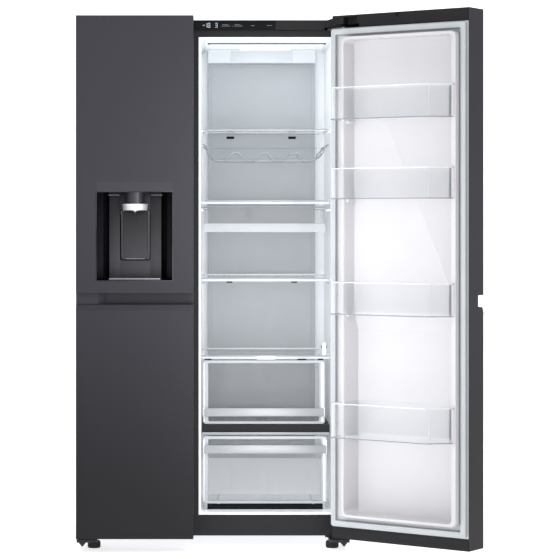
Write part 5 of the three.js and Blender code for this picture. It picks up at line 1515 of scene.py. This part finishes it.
@dataclass
class FridgeDoor:
    """Right door with its four clear bins."""

    home: Placement

    def build(self) -> None:
        """Builds the shell and the bins."""
        DoorShell(self.home, "fridge_door").build()
        bins = [name for name in frame["nodes"] if name.startswith("door_bin_")]
        refine(CLEAR, *bins, bevel=0.0008)
        for name in sorted(bins):
            DoorBin(self.home, name).build()
        add_handle_seam(self.home, "fridge_door")
        self.add_cap_hook()

    def add_cap_hook(self) -> None:
        """Small hook under the middle of the top cap's inner face."""
        cap = self.home.box("fridge_door_top_cap")
        hook = Maker("fridge_door_cap_hook", self.home)
        x, top = cap.middle.x + 0.008, cap.high.z - 0.0015
        outline = [(x - 0.007, top), (x + 0.007, top), (x + 0.004, top - 0.012),
                   (x - 0.001, top - 0.015), (x - 0.005, top - 0.010)]
        hook.prism(outline, Axis.Y, (cap.high.y - 0.001, cap.high.y + 0.003), 0.0008)
        hook.make(DARK_TRIM_AND_SHADE, "black_plastic")


# ------------------------------------------------------------------------------------- studio


@dataclass
class Studio:
    """Pale floor and backdrop, soft lights and the camera."""

    home: Placement
    distance: float = 7.16075
    eye_height: float = 1.1012
    lens: float = 138.81
    shift: Flat = (0.1187, -0.1025)
    world: float = 0.44
    floor_back: float = 10.0

    def build(self) -> None:
        """Sets up the camera, the floor, the lights and the air's own light."""
        self.add_camera()
        self.add_floor()
        self.add_light("key_light", (-2.2, -5.2, 2.6), (0.1, 0.4, 0.9), (2.4, 2.4), 32)
        self.add_light("front_light", (0.2, -6.4, 1.2), (0.15, 0.5, 0.9), (1.6, 1.6), 24)
        self.add_light("top_light", (0.3, -1.2, 4.8), (0.3, -1.0, 0), (4.0, 4.0), 92)
        self.add_light("back_light", (0.6, 2.6, 3.6), (0.3, 2.4, 0), (3.0, 2.0), 45)
        self.add_light("cavity_light", (0.22, -0.62, 0.92), (0.17, 0.6, 0.92), (0.4, 1.5), 6.6)
        self.add_light("ceiling_lamp", (0.18, 0.30, 1.70), (0.18, 0.32, 0.9), (0.2, 0.12), 0.3)
        self.add_world()

    def add_camera(self) -> None:
        """Level camera in front of the cabinet's middle."""
        data = bpy.data.cameras.new("camera")
        data.lens = self.lens
        data.sensor_width = 36
        data.shift_x, data.shift_y = self.shift
        data.clip_end = 100
        camera = bpy.data.objects.new("camera", data)
        bpy.context.scene.collection.objects.link(camera)
        camera.location = self.home.matrix @ Vector((0, -self.distance, self.eye_height))
        camera.rotation_euler = (math.pi / 2, 0, 0)
        bpy.context.scene.camera = camera

    def add_floor(self) -> None:
        """Floor that curves up into a backdrop."""
        mesh = bmesh.new()
        half, front, radius, height = 14.0, -14.0, 1.5, 9.0
        profile = [(front, 0.0)]
        for step in range(13):
            angle = math.pi / 2 * step / 12
            profile.append((self.floor_back + radius * math.sin(angle), radius * (1 - math.cos(angle))))
        profile.append((self.floor_back + radius, height))
        rows = [[mesh.verts.new((x, y, z)) for x in (-half, half)] for y, z in profile]
        for low, high in zip(rows, rows[1:]):
            mesh.faces.new((low[0], low[1], high[1], high[0]))
        data = bpy.data.meshes.new("studio_floor")
        mesh.to_mesh(data)
        mesh.free()
        data.shade_smooth()
        floor = bpy.data.objects.new("studio_floor", data)
        bpy.context.scene.collection.objects.link(floor)
        STUDIO_PAPER.dress(floor)

    def add_light(self, name: str, place: Point, aim: Point, size: Flat, power: float) -> None:
        """Adds one soft light.

        Args:
            name: Its name.
            place: Where it stands, in the cabinet's frame.
            aim: What it points at, in the cabinet's frame.
            size: Its width and height.
            power: Its power in watts.
        """
        data = bpy.data.lights.new(name, "AREA")
        data.shape = "RECTANGLE"
        data.size, data.size_y = size
        data.energy = power
        light = bpy.data.objects.new(name, data)
        bpy.context.scene.collection.objects.link(light)
        light.location = self.home.matrix @ Vector(place)
        toward = self.home.matrix @ Vector(aim) - light.location
        light.rotation_mode = "QUATERNION"
        light.rotation_quaternion = toward.to_track_quat("-Z", "Y")

    def add_world(self) -> None:
        """Even pale light from all round."""
        world = bpy.data.worlds.new("studio_air")
        world.use_nodes = True
        background = world.node_tree.nodes["Background"]
        background.inputs["Color"].default_value = (0.97, 0.98, 1.0, 1)
        background.inputs["Strength"].default_value = self.world
        bpy.context.scene.world = world
        bpy.context.scene.view_settings.view_transform = "Standard"


def main() -> None:
    """Builds every sub-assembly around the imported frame."""
    logging.basicConfig(level=logging.INFO, format="%(name)s %(message)s")
    cabinet = Placement("cabinet")
    parts = (
        Studio(cabinet),
        Cabinet(cabinet),
        RunningGear(cabinet),
        MachineCompartment(cabinet),
        FridgeCompartment(cabinet),
        FreezerCompartment(cabinet),
        FreezerDoor(Placement("freezer_door"), Placement("dispenser_paddle")),
        FridgeDoor(Placement("fridge_door", "fridge_door_hinge")),
    )
    for part in parts:
        log.info("building %s", type(part).__name__)
        part.build()
    bpy.context.view_layer.update()
    log.info("size written")


if __name__ == "__main__":
    main()
